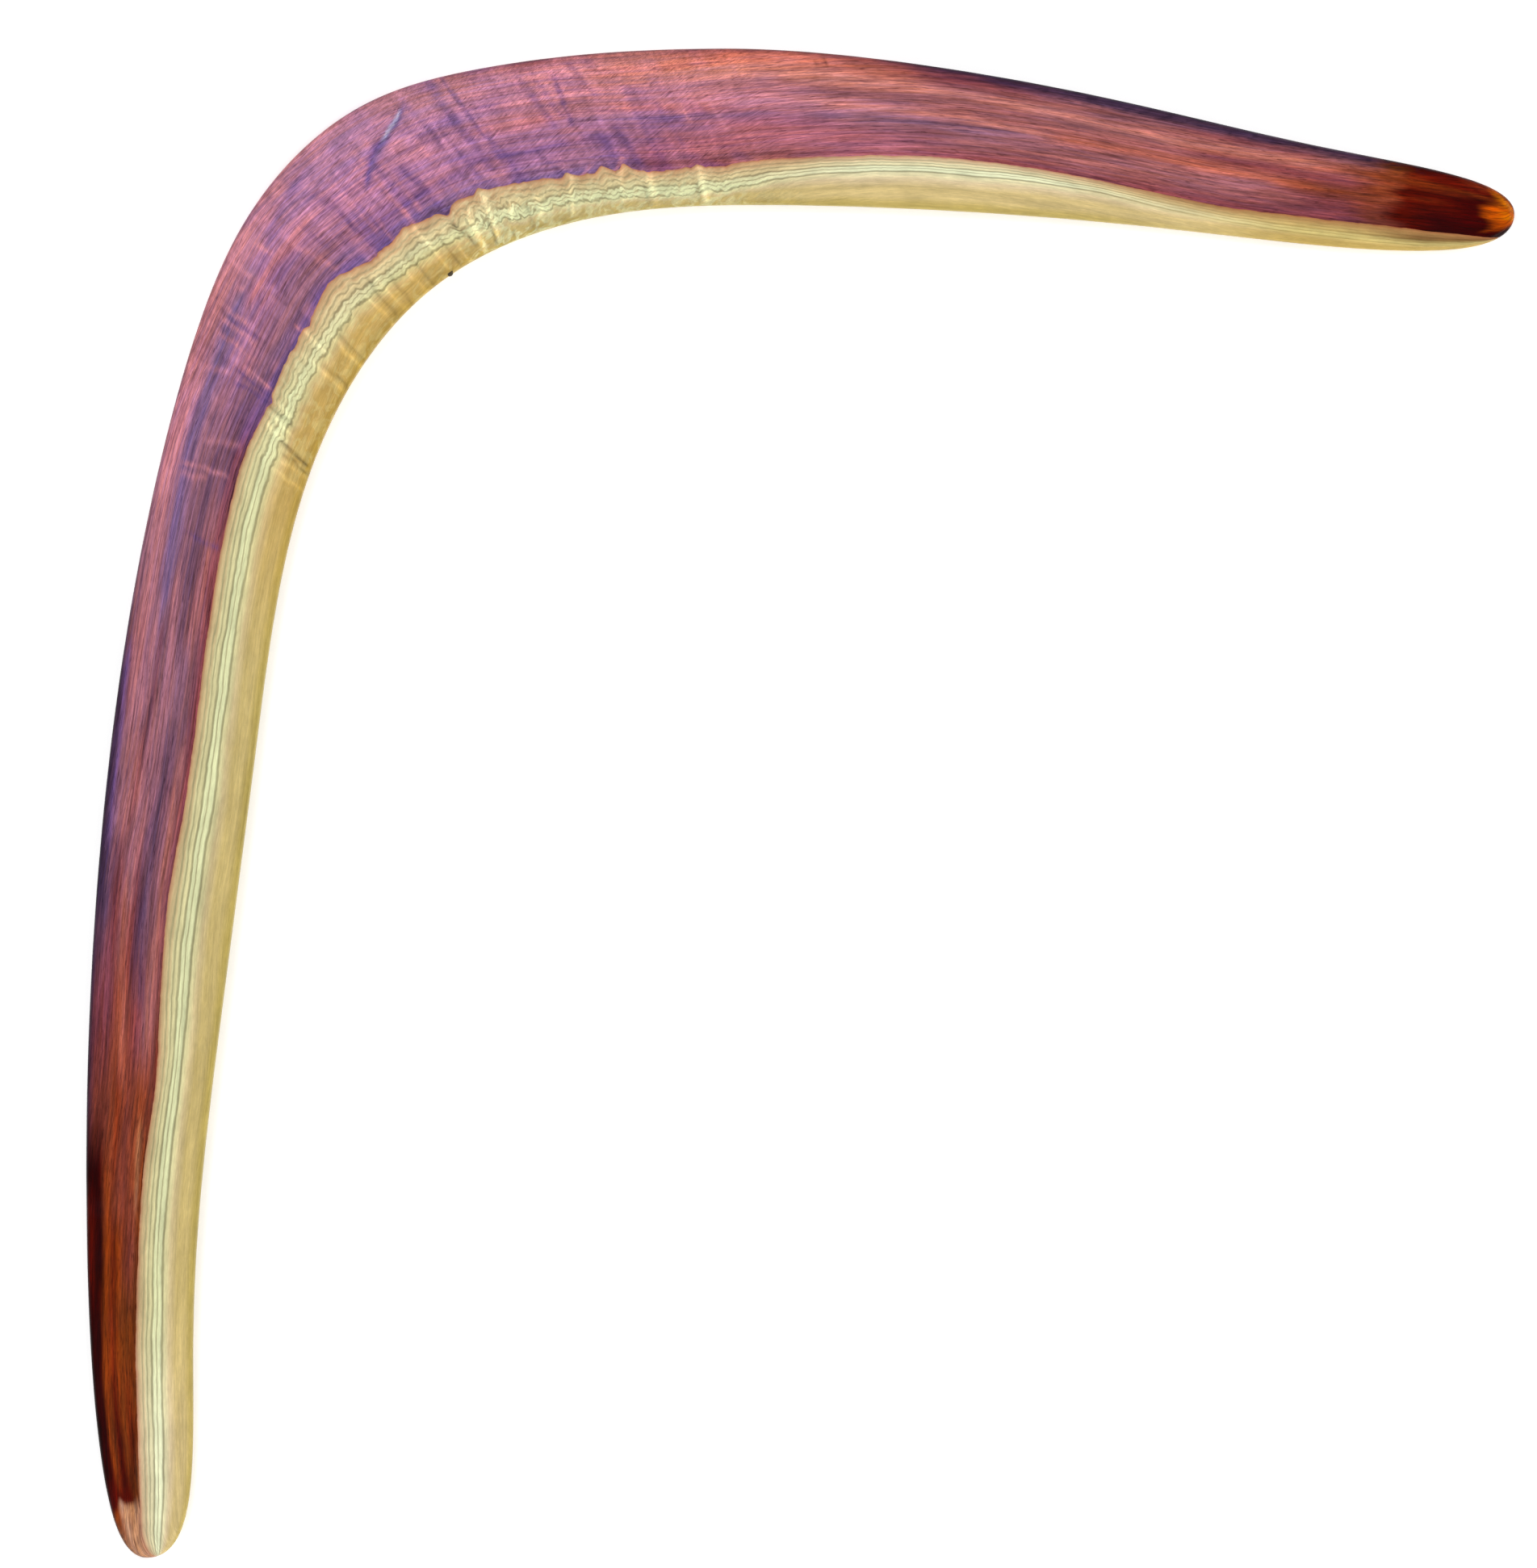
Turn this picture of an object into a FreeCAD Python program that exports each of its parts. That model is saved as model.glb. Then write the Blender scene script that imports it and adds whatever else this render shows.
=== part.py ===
import FreeCAD, Part
import os

import Sketcher

# A one-piece wooden boomerang, carved from a naturally curved elbow of a hardwood tree.
# The dark heartwood fills the outer side of both arms, the pale sapwood runs along the whole
# inner edge, and a fleck of bark is left in that edge at the elbow.
#
# Frame, in millimetres: the flat underside lies on z = 0 with the crowned top facing +Z, the
# origin is under the middle of the bounding box, +Y runs up the lower arm to the elbow, and
# +X runs from the elbow along the upper arm.

doc = FreeCAD.newDocument("Boomerang")
sheet = doc.addObject("Spreadsheet::Sheet", "Dimensions")
next_row = 1


def add_cell(alias, value):
    """Write one driving dimension into the sheet, under its own name."""
    global next_row
    sheet.set(f"A{next_row}", alias)
    sheet.set(f"B{next_row}", str(value))
    sheet.setAlias(f"B{next_row}", alias)
    next_row += 1


def add_table(name, columns, rows):
    """Write a table into the sheet, with aliases such as outline_x_03."""
    for number, values in enumerate(rows, 1):
        for column, value in zip(columns, values):
            add_cell(f"{name}_{column}_{number:02d}", value)


# ---- driving dimensions -------------------------------------------------------------------

# The outline is a loop of four cubic splines, each from one side of the bounding box to the
# next. These are their poles. A stretch ends on the first pole of the one after it, and its
# tangent there lies along the side of the box.
HALF_SPAN_X = 195.0
HALF_SPAN_Y = 206.0
OUTLINE = [
    # round the lower tip, and up the outer edge of the lower arm
    [(-178.5, -HALF_SPAN_Y), (-185.5, -HALF_SPAN_Y), (-192.5, -183.0), (-HALF_SPAN_X, -133.0)],
    # on up the lower arm, and round the outside of the elbow
    [(-HALF_SPAN_X, -100.0), (-HALF_SPAN_X, -60.0), (-190.5, 11.0), (-177.5, 86.0),
     (-163.0, 138.0), (-148.0, 168.0), (-121.5, 193.0), (-87.0, 201.5), (-50.0, HALF_SPAN_Y)],
    # the outer edge of the upper arm, to its tip
    [(-20.0, HALF_SPAN_Y), (0.0, HALF_SPAN_Y), (45.0, 200.5), (95.0, 190.5), (145.0, 177.5),
     (HALF_SPAN_X, 170.0)],
    # round the upper tip, and along the whole inner edge
    [(HALF_SPAN_X, 161.0), (HALF_SPAN_X, 151.5), (162.0, 149.0), (100.0, 157.5), (45.0, 162.0),
     (-10.0, 164.0), (-58.0, 162.5), (-103.0, 144.5), (-130.5, 105.5), (-143.5, 60.0),
     (-150.0, 2.0), (-160.0, -70.0), (-168.5, -145.0), (-163.5, -HALF_SPAN_Y)],
]
for stretch_number, stretch in enumerate(OUTLINE, 1):
    add_table(f"stretch_{stretch_number}", ("x", "y"), stretch)

# The blade bends round this point, and every cross-section stands on a ray from it.
add_cell("bend_x", 112.0)
add_cell("bend_y", -111.0)

# One crowned section a row, from the tip of the upper arm round to the tip of the lower arm:
# the ray's angle, the height of the crown, and how far the outer edge is the blunt leading one
# (1) rather than the long trailing bevel (0).
SECTIONS = [
    (71.0, 3.4, 1.0),
    (76.0, 4.6, 1.0),
    (82.0, 6.0, 1.0),
    (90.0, 7.4, 1.0),
    (100.0, 8.6, 0.9),
    (110.0, 9.5, 0.75),
    (120.0, 10.2, 0.6),
    (125.0, 10.4, 0.55),
    (130.0, 10.5, 0.5),
    (135.0, 10.5, 0.45),
    (140.0, 10.3, 0.4),
    (150.0, 9.9, 0.25),
    (160.0, 9.4, 0.1),
    (170.0, 8.8, 0.0),
    (180.0, 7.8, 0.0),
    (188.0, 6.4, 0.0),
    (194.0, 4.9, 0.0),
    (201.0, 3.4, 0.0),
]
add_table("section", ("angle", "crown", "lead"), SECTIONS)

# A ray outside these two passes a tip by, and its section takes the edges found on the nearer.
UPPER_TIP_RAY = 75.5
LOWER_TIP_RAY = 196.5
RAY_LENGTH = 450.0

add_cell("rim_height", 1.6)        # height of a section where it ends, outside the blade
add_cell("runout", 4.0)            # how far a section runs on outside the blade's edge
add_cell("blunt_share", 0.12)      # share of the width that the leading edge's rise takes
add_cell("bevel_share", 0.38)      # share of the width that the trailing bevel takes
add_cell("undercut", 2.0)          # depth of the section solid below the underside
add_cell("blank_thickness", 14.0)  # thickness of the flat blank, before the crown is carved
add_cell("top_rounding", 1.8)      # radius along the upper edge, where the crown meets the side
add_cell("bottom_rounding", 1.0)   # radius along the lower edge

# The growth ring between the heartwood and the sapwood, as the poles of an open cubic spline. It
# leaves the wood through the inner edge just short of the upper tip, and through the end of the
# lower tip.
GROWTH_RING = [
    (183.0, 138.0), (184.0, 154.5), (164.0, 156.5), (128.0, 159.5), (95.0, 166.7), (46.0, 177.0),
    (-10.0, 174.7), (-64.0, 173.2), (-116.0, 158.5), (-147.5, 112.0), (-160.5, 64.0),
    (-166.3, 4.0), (-177.0, -68.0), (-183.0, -146.0), (-179.0, -214.0),
]
add_table("ring", ("x", "y"), GROWTH_RING)

# The corners that close the sapwood's zone on the open side of the crook.
ZONE_CORNERS = [(-100.0, -214.0), (183.0, 100.0)]
add_table("zone", ("x", "y"), ZONE_CORNERS)

# The fleck of bark is a lens-shaped chip, seated upright in the inner edge at the elbow.
add_cell("fleck_x", -95.5)
add_cell("fleck_y", 144.6)
add_cell("fleck_z", 1.4)
add_cell("fleck_turn", 50.0)
add_cell("fleck_half_length", 0.9)
add_cell("fleck_half_width", 0.6)
add_cell("fleck_height", 2.8)

doc.recompute()


# ---- sketch helpers -----------------------------------------------------------------------

def origin_plane(body, role):
    """One of the body's own origin planes, such as XY_Plane."""
    return next(plane for plane in body.Origin.OriginFeatures if plane.Role == role)


def add_sketch(body, name, role):
    """A sketch on one of the body's origin planes."""
    sketch = body.newObject("Sketcher::SketchObject", name)
    sketch.AttachmentSupport = (origin_plane(body, role), [""])
    sketch.MapMode = "FlatFace"
    return sketch


def hold_point(sketch, geometry, point, rule_x, rule_y):
    """Hold a sketch point at two distances from the sketch's origin, each read from the sheet."""
    place = sketch.getPoint(geometry, point)
    for kind, distance, rule in (("DistanceX", place.x, rule_x), ("DistanceY", place.y, rule_y)):
        held = Sketcher.Constraint(kind, -1, 1, geometry, point, distance)
        number = sketch.addConstraint(held)
        sketch.setExpression(f"Constraints[{number}]", rule)


def add_spline(sketch, poles, rules):
    """A cubic spline whose poles are held where the sheet says, as far as there are rules."""
    spline = Part.BSplineCurve()
    spline.buildFromPoles([FreeCAD.Vector(x, y, 0) for x, y in poles], False, 3)
    curve = sketch.addGeometry(spline, False)
    sketch.exposeInternalGeometry(curve)
    for number, (rule_x, rule_y) in enumerate(rules, 1):
        hold_point(sketch, curve + number, 3, rule_x, rule_y)
    return curve


def add_line(sketch, start, end):
    """A straight edge of a sketch."""
    line = Part.LineSegment(FreeCAD.Vector(*start, 0), FreeCAD.Vector(*end, 0))
    return sketch.addGeometry(line, False)


def join(sketch, first, first_end, second, second_end):
    """Make two ends of a sketch's edges meet."""
    sketch.addConstraint(Sketcher.Constraint("Coincident", first, first_end, second, second_end))


def table_rules(name, count):
    """The expressions that read a table of points."""
    return [(f"Dimensions.{name}_x_{number:02d}", f"Dimensions.{name}_y_{number:02d}")
            for number in range(1, count + 1)]


# ---- the flat blank, sawn to the outline --------------------------------------------------

blank = doc.addObject("PartDesign::Body", "Blank")
outline = add_sketch(blank, "Outline", "XY_Plane")
stretch_curves = []
for stretch_number, stretch in enumerate(OUTLINE, 1):
    next_stretch = OUTLINE[stretch_number % len(OUTLINE)]
    stretch_rules = table_rules(f"stretch_{stretch_number}", len(stretch))
    stretch_curves.append(add_spline(outline, stretch + next_stretch[:1], stretch_rules))
for curve, next_curve in zip(stretch_curves, stretch_curves[1:] + stretch_curves[:1]):
    join(outline, curve, 2, next_curve, 1)

blank_pad = blank.newObject("PartDesign::Pad", "BlankPad")
blank_pad.Profile = outline
blank_pad.setExpression("Length", "Dimensions.blank_thickness")
outline.Visibility = False
doc.recompute()


# ---- the crown, carved over the blank -----------------------------------------------------

crown = doc.addObject("PartDesign::Body", "Crown")
outline_face = Part.Face(Part.Wire(Part.__sortEdges__(outline.Shape.Edges)))
bend_centre = FreeCAD.Vector(float(sheet.bend_x), float(sheet.bend_y), 0)


def blade_edges(angle):
    """Distances from the bend's centre to the inner and the outer edge, along a ray."""
    crossing_angle = min(max(angle, UPPER_TIP_RAY), LOWER_TIP_RAY)
    turn = FreeCAD.Rotation(FreeCAD.Vector(0, 0, 1), crossing_angle)
    far_end = bend_centre + turn.multVec(FreeCAD.Vector(RAY_LENGTH, 0, 0))
    crossing = outline_face.common(Part.makeLine(bend_centre, far_end))
    inner, outer = sorted(vertex.Point.distanceToPoint(bend_centre) for vertex in crossing.Vertexes)
    return round(inner, 1), round(outer, 1)


section_edges = [blade_edges(angle) for angle, _, _ in SECTIONS]
add_table("section", ("inner", "outer"), section_edges)
doc.recompute()


def add_section(number, angle, inner, outer, height):
    """One upright section: a crowned spline over a flat foot, on a ray from the bend's centre."""
    cell = {word: f"Dimensions.section_{word}_{number:02d}"
            for word in ("angle", "inner", "outer", "crown", "lead")}
    sketch = add_sketch(crown, f"Section{number:02d}", "XZ_Plane")
    upright = FreeCAD.Rotation(FreeCAD.Vector(0, 1, 0), angle)
    sketch.AttachmentOffset = FreeCAD.Placement(FreeCAD.Vector(0, 0, 0), upright)
    sketch.setExpression(".AttachmentOffset.Base.x", "Dimensions.bend_x")
    sketch.setExpression(".AttachmentOffset.Base.z", "-Dimensions.bend_y")
    sketch.setExpression(".AttachmentOffset.Rotation.Angle", cell["angle"])

    width = f"({cell['outer']} - {cell['inner']})"
    spread = "(Dimensions.bevel_share - Dimensions.blunt_share)"
    shoulder = f"(4 * {cell['crown']} - Dimensions.rim_height) / 3"
    start = (f"{cell['inner']} - Dimensions.runout", "Dimensions.rim_height")
    inner_shoulder = (
        f"{cell['inner']} + {width} * (Dimensions.blunt_share + {spread} * {cell['lead']})",
        shoulder)
    outer_shoulder = (
        f"{cell['outer']} - {width} * (Dimensions.bevel_share - {spread} * {cell['lead']})",
        shoulder)
    end = (f"{cell['outer']} + Dimensions.runout", "Dimensions.rim_height")

    third = (outer - inner) / 3
    poles = [(inner, 0), (inner + third, height), (outer - third, height), (outer, 0)]
    crest = add_spline(sketch, poles, (start, inner_shoulder, outer_shoulder, end))
    outer_side = add_line(sketch, (outer, 0), (outer, -1))
    foot = add_line(sketch, (outer, -1), (inner, -1))
    inner_side = add_line(sketch, (inner, -1), (inner, 0))
    join(sketch, crest, 2, outer_side, 1)
    join(sketch, outer_side, 2, foot, 1)
    join(sketch, foot, 2, inner_side, 1)
    join(sketch, inner_side, 2, crest, 1)
    hold_point(sketch, foot, 1, end[0], "-Dimensions.undercut")
    hold_point(sketch, foot, 2, start[0], "-Dimensions.undercut")
    sketch.Visibility = False
    return sketch


section_sketches = []
for section_number, (section, edges) in enumerate(zip(SECTIONS, section_edges), 1):
    ray, crown_height, _ = section
    section_sketches.append(add_section(section_number, ray, *edges, crown_height))
doc.recompute()

crown_loft = crown.newObject("PartDesign::AdditiveLoft", "CrownLoft")
crown_loft.Profile = section_sketches[0]
crown_loft.Sections = section_sketches[1:]
crown_loft.Ruled = False
crown_loft.Closed = False
doc.recompute()


# ---- the blade, with its edges rounded ----------------------------------------------------

carved = doc.addObject("Part::MultiCommon", "Carved")
carved.Shapes = [blank, crown]
doc.recompute()


def edges_between(shape, is_first, is_second):
    """The numbers of the edges where a face of one kind meets a face of another."""
    numbers = []
    for number, edge in enumerate(shape.Edges, 1):
        faces = shape.ancestorsOfType(edge, Part.Face)
        if any(map(is_first, faces)) and any(map(is_second, faces)):
            numbers.append(number)
    return numbers


def is_flat(face):
    """True for the underside."""
    return isinstance(face.Surface, Part.Plane)


def is_side(face):
    """True for the upright side, which stands square to the underside."""
    u_low, u_high, v_low, v_high = face.ParameterRange
    return abs(face.normalAt((u_low + u_high) / 2, (v_low + v_high) / 2).z) < 1e-6


def is_top(face):
    """True for the crowned top."""
    return not is_flat(face) and not is_side(face)


blade = doc.addObject("Part::Fillet", "Blade")
blade.Base = carved
top_radius = float(sheet.top_rounding)
bottom_radius = float(sheet.bottom_rounding)
blade.Edges = (
    [(number, top_radius, top_radius) for number in edges_between(carved.Shape, is_top, is_side)]
    + [(number, bottom_radius, bottom_radius)
       for number in edges_between(carved.Shape, is_flat, is_side)])
doc.recompute()


# ---- the two woods, divided along a growth ring -------------------------------------------

zone = doc.addObject("PartDesign::Body", "SapwoodZone")
zone_outline = add_sketch(zone, "ZoneOutline", "XY_Plane")
ring = add_spline(zone_outline, GROWTH_RING, table_rules("ring", len(GROWTH_RING)))
foot_corner, side_corner = ZONE_CORNERS
foot_line = add_line(zone_outline, GROWTH_RING[-1], foot_corner)
open_line = add_line(zone_outline, foot_corner, side_corner)
side_line = add_line(zone_outline, side_corner, GROWTH_RING[0])
join(zone_outline, ring, 2, foot_line, 1)
join(zone_outline, foot_line, 2, open_line, 1)
join(zone_outline, open_line, 2, side_line, 1)
join(zone_outline, side_line, 2, ring, 1)
for line, (rule_x, rule_y) in zip((open_line, side_line), table_rules("zone", len(ZONE_CORNERS))):
    hold_point(zone_outline, line, 1, rule_x, rule_y)

zone_pad = zone.newObject("PartDesign::Pad", "ZonePad")
zone_pad.Profile = zone_outline
zone_pad.Midplane = True
zone_pad.setExpression("Length", "2 * Dimensions.blank_thickness")
zone_outline.Visibility = False
doc.recompute()

heartwood = doc.addObject("Part::Cut", "Heartwood")
heartwood.Label = "heartwood"
heartwood.Base = blade
heartwood.Tool = zone

sapwood_whole = doc.addObject("Part::MultiCommon", "SapwoodWhole")
sapwood_whole.Shapes = [blade, zone]


# ---- the fleck of bark, seated in the sapwood ---------------------------------------------

bark_fleck = doc.addObject("PartDesign::Body", "BarkFleck")
bark_fleck.Label = "bark_fleck"
fleck_outline = add_sketch(bark_fleck, "FleckOutline", "XY_Plane")
fleck_end = FreeCAD.Vector(1, 0, 0)
fleck_bulge = FreeCAD.Vector(0, 0.5, 0)
outer_arc = fleck_outline.addGeometry(Part.Arc(fleck_end, fleck_bulge, -fleck_end), False)
inner_arc = fleck_outline.addGeometry(Part.Arc(fleck_end, -fleck_bulge, -fleck_end), False)
join(fleck_outline, outer_arc, 1, inner_arc, 2)
join(fleck_outline, outer_arc, 2, inner_arc, 1)
hold_point(fleck_outline, outer_arc, 1, "Dimensions.fleck_half_length", "0")
hold_point(fleck_outline, outer_arc, 2, "-Dimensions.fleck_half_length", "0")
fleck_radius = ("(Dimensions.fleck_half_length ^ 2 + Dimensions.fleck_half_width ^ 2)"
                " / (2 * Dimensions.fleck_half_width)")
for arc in (outer_arc, inner_arc):
    held = Sketcher.Constraint("Radius", arc, fleck_outline.Geometry[arc].Radius)
    fleck_outline.setExpression(f"Constraints[{fleck_outline.addConstraint(held)}]", fleck_radius)

fleck_pad = bark_fleck.newObject("PartDesign::Pad", "FleckPad")
fleck_pad.Profile = fleck_outline
fleck_pad.setExpression("Length", "Dimensions.fleck_height")
fleck_outline.Visibility = False
upright_turn = FreeCAD.Rotation(FreeCAD.Vector(0, 0, 1), float(sheet.fleck_turn))
bark_fleck.Placement = FreeCAD.Placement(FreeCAD.Vector(0, 0, 0), upright_turn)
bark_fleck.setExpression(".Placement.Base.x", "Dimensions.fleck_x")
bark_fleck.setExpression(".Placement.Base.y", "Dimensions.fleck_y")
bark_fleck.setExpression(".Placement.Base.z", "Dimensions.fleck_z")
bark_fleck.setExpression(".Placement.Rotation.Angle", "Dimensions.fleck_turn")

sapwood = doc.addObject("Part::Cut", "Sapwood")
sapwood.Label = "sapwood"
sapwood.Base = sapwood_whole
sapwood.Tool = bark_fleck
doc.recompute()


# ---- checks, and one file for each piece --------------------------------------------------

for item in doc.Objects:
    failed = {"Invalid", "Error"} & set(item.State)
    if failed:
        raise RuntimeError(f"{item.Name} failed: {sorted(failed)}")

os.makedirs("parts", exist_ok=True)
for piece in (heartwood, sapwood, bark_fleck):
    if piece.Shape.isNull() or not piece.Shape.isValid():
        raise RuntimeError(f"{piece.Label} has no valid shape")
    piece.Shape.exportStep(f"parts/{piece.Label}.step")
    box = piece.Shape.optimalBoundingBox()
    print(f"{piece.Label}: {len(piece.Shape.Solids)} solid, {piece.Shape.Volume / 1000:.2f} cm3, "
          f"x {box.XMin:.2f}..{box.XMax:.2f}, y {box.YMin:.2f}..{box.YMax:.2f}, "
          f"z {box.ZMin:.2f}..{box.ZMax:.2f}")
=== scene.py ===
"""Looks of a boomerang carved from one piece of naturally bent hardwood.

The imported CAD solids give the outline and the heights. Here the two woods get finer meshes that meet
along the real, ragged growth ring, and materials for the heartwood, the sapwood and the fleck of bark.

Places on the blade are given by two numbers: "along", the distance in millimetres from the lower tip
round the bend to the upper tip, and "share", the place across the blade from 0 at the inner edge to
1 at the outer edge. Shapes are worked out in millimetres and turned into metres when a mesh is made.
"""
import math

import bpy
import numpy as np
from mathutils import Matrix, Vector
from mathutils.bvhtree import BVHTree


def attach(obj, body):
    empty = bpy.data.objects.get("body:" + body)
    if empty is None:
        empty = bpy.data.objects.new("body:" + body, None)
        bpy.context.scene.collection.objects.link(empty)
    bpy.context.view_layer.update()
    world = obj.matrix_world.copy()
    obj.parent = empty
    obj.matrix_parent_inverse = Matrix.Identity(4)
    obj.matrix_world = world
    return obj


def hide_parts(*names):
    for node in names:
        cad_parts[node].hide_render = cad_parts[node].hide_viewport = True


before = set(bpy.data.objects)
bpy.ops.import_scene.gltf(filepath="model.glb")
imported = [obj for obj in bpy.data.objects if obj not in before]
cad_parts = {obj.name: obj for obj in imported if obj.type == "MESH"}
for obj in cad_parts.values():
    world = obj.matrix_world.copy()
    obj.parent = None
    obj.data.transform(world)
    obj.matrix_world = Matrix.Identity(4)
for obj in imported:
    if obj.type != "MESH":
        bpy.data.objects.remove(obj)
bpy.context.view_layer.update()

MM = 0.001                      # millimetres to metres

# ---- the blade, measured on the CAD solids ----

BEND_CENTRE = (112.0, -111.0)   # the rows of the meshes fan out from here
REACH = 450.0                   # further from the bend centre than any part of the blade
LENGTH = 695.0                  # the blade from tip to tip, as the tables below count it
SIDE_HEIGHT = 1.1               # height at which the blade is widest
ROW_STEP = 0.7                  # distance between rows
TIP_LENGTH = 14.0               # stretch at each tip in which the rows draw closer together
TIP_ROWS = 34
TOP_ROUNDING = 1.8
BOTTOM_ROUNDING = 1.0
ROUNDING_STEPS = 6
ROUNDING_LIMIT = 0.35           # a rounding takes at most this share of a piece's width
SMOOTHING = 4.0                 # the measured heights are evened out over this many rows
WALK_STEPS = 4000               # fine steps from tip to tip, to measure the length
TIP_SLACK = 1e-5                # radians that the first and last of them stay inside the tips
HALVINGS = 40                   # of the search for the angle of a tip
LOWER_TIP_SEARCH = (190, 205)   # degrees at the bend centre: inside the blade, and past its tip
UPPER_TIP_SEARCH = (80, 65)


def cad_tree(*nodes):
    """A ray-casting tree of the named CAD nodes, in millimetres."""
    points, faces = [], []
    for name in nodes:
        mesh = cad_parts[name].data
        start = len(points)
        points += [v.co / MM for v in mesh.vertices]
        faces += [[start + i for i in p.vertices] for p in mesh.polygons]
    return BVHTree.FromPolygons(points, faces)


blade = cad_tree("heartwood", "sapwood")
heart_only = cad_tree("heartwood")


def direction(angle):
    return Vector((math.cos(angle), math.sin(angle), 0.0))


def first_hit(tree, angle):
    """Distance from the bend centre to the first surface that a level ray meets, or None."""
    hit = tree.ray_cast(Vector((*BEND_CENTRE, SIDE_HEIGHT)), direction(angle), REACH)
    return hit[3]


def last_hit(tree, angle):
    start = Vector((*BEND_CENTRE, SIDE_HEIGHT)) + REACH * direction(angle)
    hit = tree.ray_cast(start, -direction(angle), REACH)
    return REACH - hit[3]


def tip_angle(inside, outside):
    """The angle, between one that meets the blade and one that misses it, where the blade ends."""
    for _ in range(HALVINGS):
        middle = (inside + outside) / 2
        if first_hit(blade, middle) is None:
            outside = middle
        else:
            inside = middle
    return inside


lower_tip = tip_angle(*map(math.radians, LOWER_TIP_SEARCH))
upper_tip = tip_angle(*map(math.radians, UPPER_TIP_SEARCH))


def walk():
    """Fine steps from tip to tip: their angles, and the distance along the middle of the blade."""
    angles = np.linspace(lower_tip - TIP_SLACK, upper_tip + TIP_SLACK, WALK_STEPS)
    middle = np.array([(first_hit(blade, a) + last_hit(blade, a)) / 2 for a in angles])
    x = middle * np.cos(angles)
    y = middle * np.sin(angles)
    steps = np.hypot(np.diff(x), np.diff(y))
    along = np.concatenate([[0.0], np.cumsum(steps)])
    return angles, along * LENGTH / along[-1]


def row_places(length):
    """Distances along the blade of the rows, closer together towards each tip."""
    turn = np.linspace(0.0, math.pi / 2, TIP_ROWS + 1)
    tip = TIP_LENGTH * (1 - np.cos(turn))
    count = int((length - 2 * TIP_LENGTH) / ROW_STEP)
    body = np.linspace(TIP_LENGTH, length - TIP_LENGTH, count + 1)
    return np.concatenate([tip[:-1], body, length - tip[-2::-1]])


def evened(values, spread):
    """Values smoothed along the rows, and left alone at the tips."""
    reach = int(3 * spread)
    weights = np.exp(-0.5 * (np.arange(-reach, reach + 1) / spread) ** 2)
    weights /= weights.sum()
    padded = np.pad(values, (reach, reach), mode="edge")
    smooth = np.convolve(padded, weights, mode="valid")
    rows = np.arange(len(values))
    from_tip = np.minimum(rows, len(values) - 1 - rows) - TIP_ROWS
    share = np.clip(from_tip / (2 * spread), 0.0, 1.0)
    return values + share * (smooth - values)


fine_angles, fine_along = walk()
along_rows = row_places(LENGTH)
angle_rows = np.interp(along_rows, fine_along, fine_angles)
raw_inner = np.array([first_hit(blade, a) for a in angle_rows])
raw_outer = np.array([last_hit(blade, a) for a in angle_rows])
raw_ring = np.array([first_hit(heart_only, a) or math.nan for a in angle_rows])
inner_rows = evened(raw_inner, SMOOTHING)
outer_rows = evened(raw_outer, SMOOTHING)
width_rows = outer_rows - inner_rows


def smoothstep(value):
    value = np.clip(value, 0.0, 1.0)
    return value * value * (3 - 2 * value)


def stretch(along, start, rise, end, fall):
    """1 on a stretch of the blade that fades in after its start and out before its end."""
    return smoothstep((along - start) / rise) * smoothstep((end - along) / fall)


def read_off(table, along):
    """Values between the rows of a table of places along the blade and values."""
    places, values = zip(*table)
    return np.interp(along, places, values)


# ---- seeded noise ----

LATTICE_SIZE = 256
SEED_SHIFT = (31.7, 17.3)       # how far apart on the lattice two neighbouring seeds are
lattice = np.random.default_rng(20).uniform(-1.0, 1.0, (LATTICE_SIZE, LATTICE_SIZE))


def noise(x, y, seed):
    """Smooth noise between -1 and 1 with features about one unit across. So a place along / 38 has
    features 38 mm long, share * 5 has five across the blade, and the seed picks one of many."""
    x = np.asarray(x, float) + SEED_SHIFT[0] * seed
    y = np.asarray(y, float) + SEED_SHIFT[1] * seed
    i = np.floor(x).astype(int)
    j = np.floor(y).astype(int)
    f = smoothstep(x - i)
    g = smoothstep(y - j)
    i0, i1 = i % LATTICE_SIZE, (i + 1) % LATTICE_SIZE
    j0, j1 = j % LATTICE_SIZE, (j + 1) % LATTICE_SIZE
    low = lattice[i0, j0] * (1 - f) + lattice[i1, j0] * f
    high = lattice[i0, j1] * (1 - f) + lattice[i1, j1] * f
    return low * (1 - g) + high * g


# ---- the growth ring between the two woods ----

# How far the visible ring wanders outwards from the smooth CAD ring: along, offset in millimetres.
RING_WANDER = [
    (0, 0.0), (40, 0.0), (56, 0.3), (106, 0.0), (128, -1.3), (138, -1.0), (150, 0.0), (178, 1.4),
    (190, 1.0), (206, 0.0), (236, -0.4), (266, -0.5), (306, 0.0), (316, -1.2), (328, -0.3),
    (346, 0.3), (356, 2.2), (360, 1.6), (369, -1.8), (376, -1.4), (382, 0.2), (394, -1.2),
    (399, 0.8), (434, -0.5), (447, -0.2), (451, -1.6), (464, -1.2), (474, -0.9), (482, 0.3),
    (500, 0.8), (530, 0.8), (545, 0.3), (615, 0.1), (632, 0.8), (700, 0.5),
]
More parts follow.
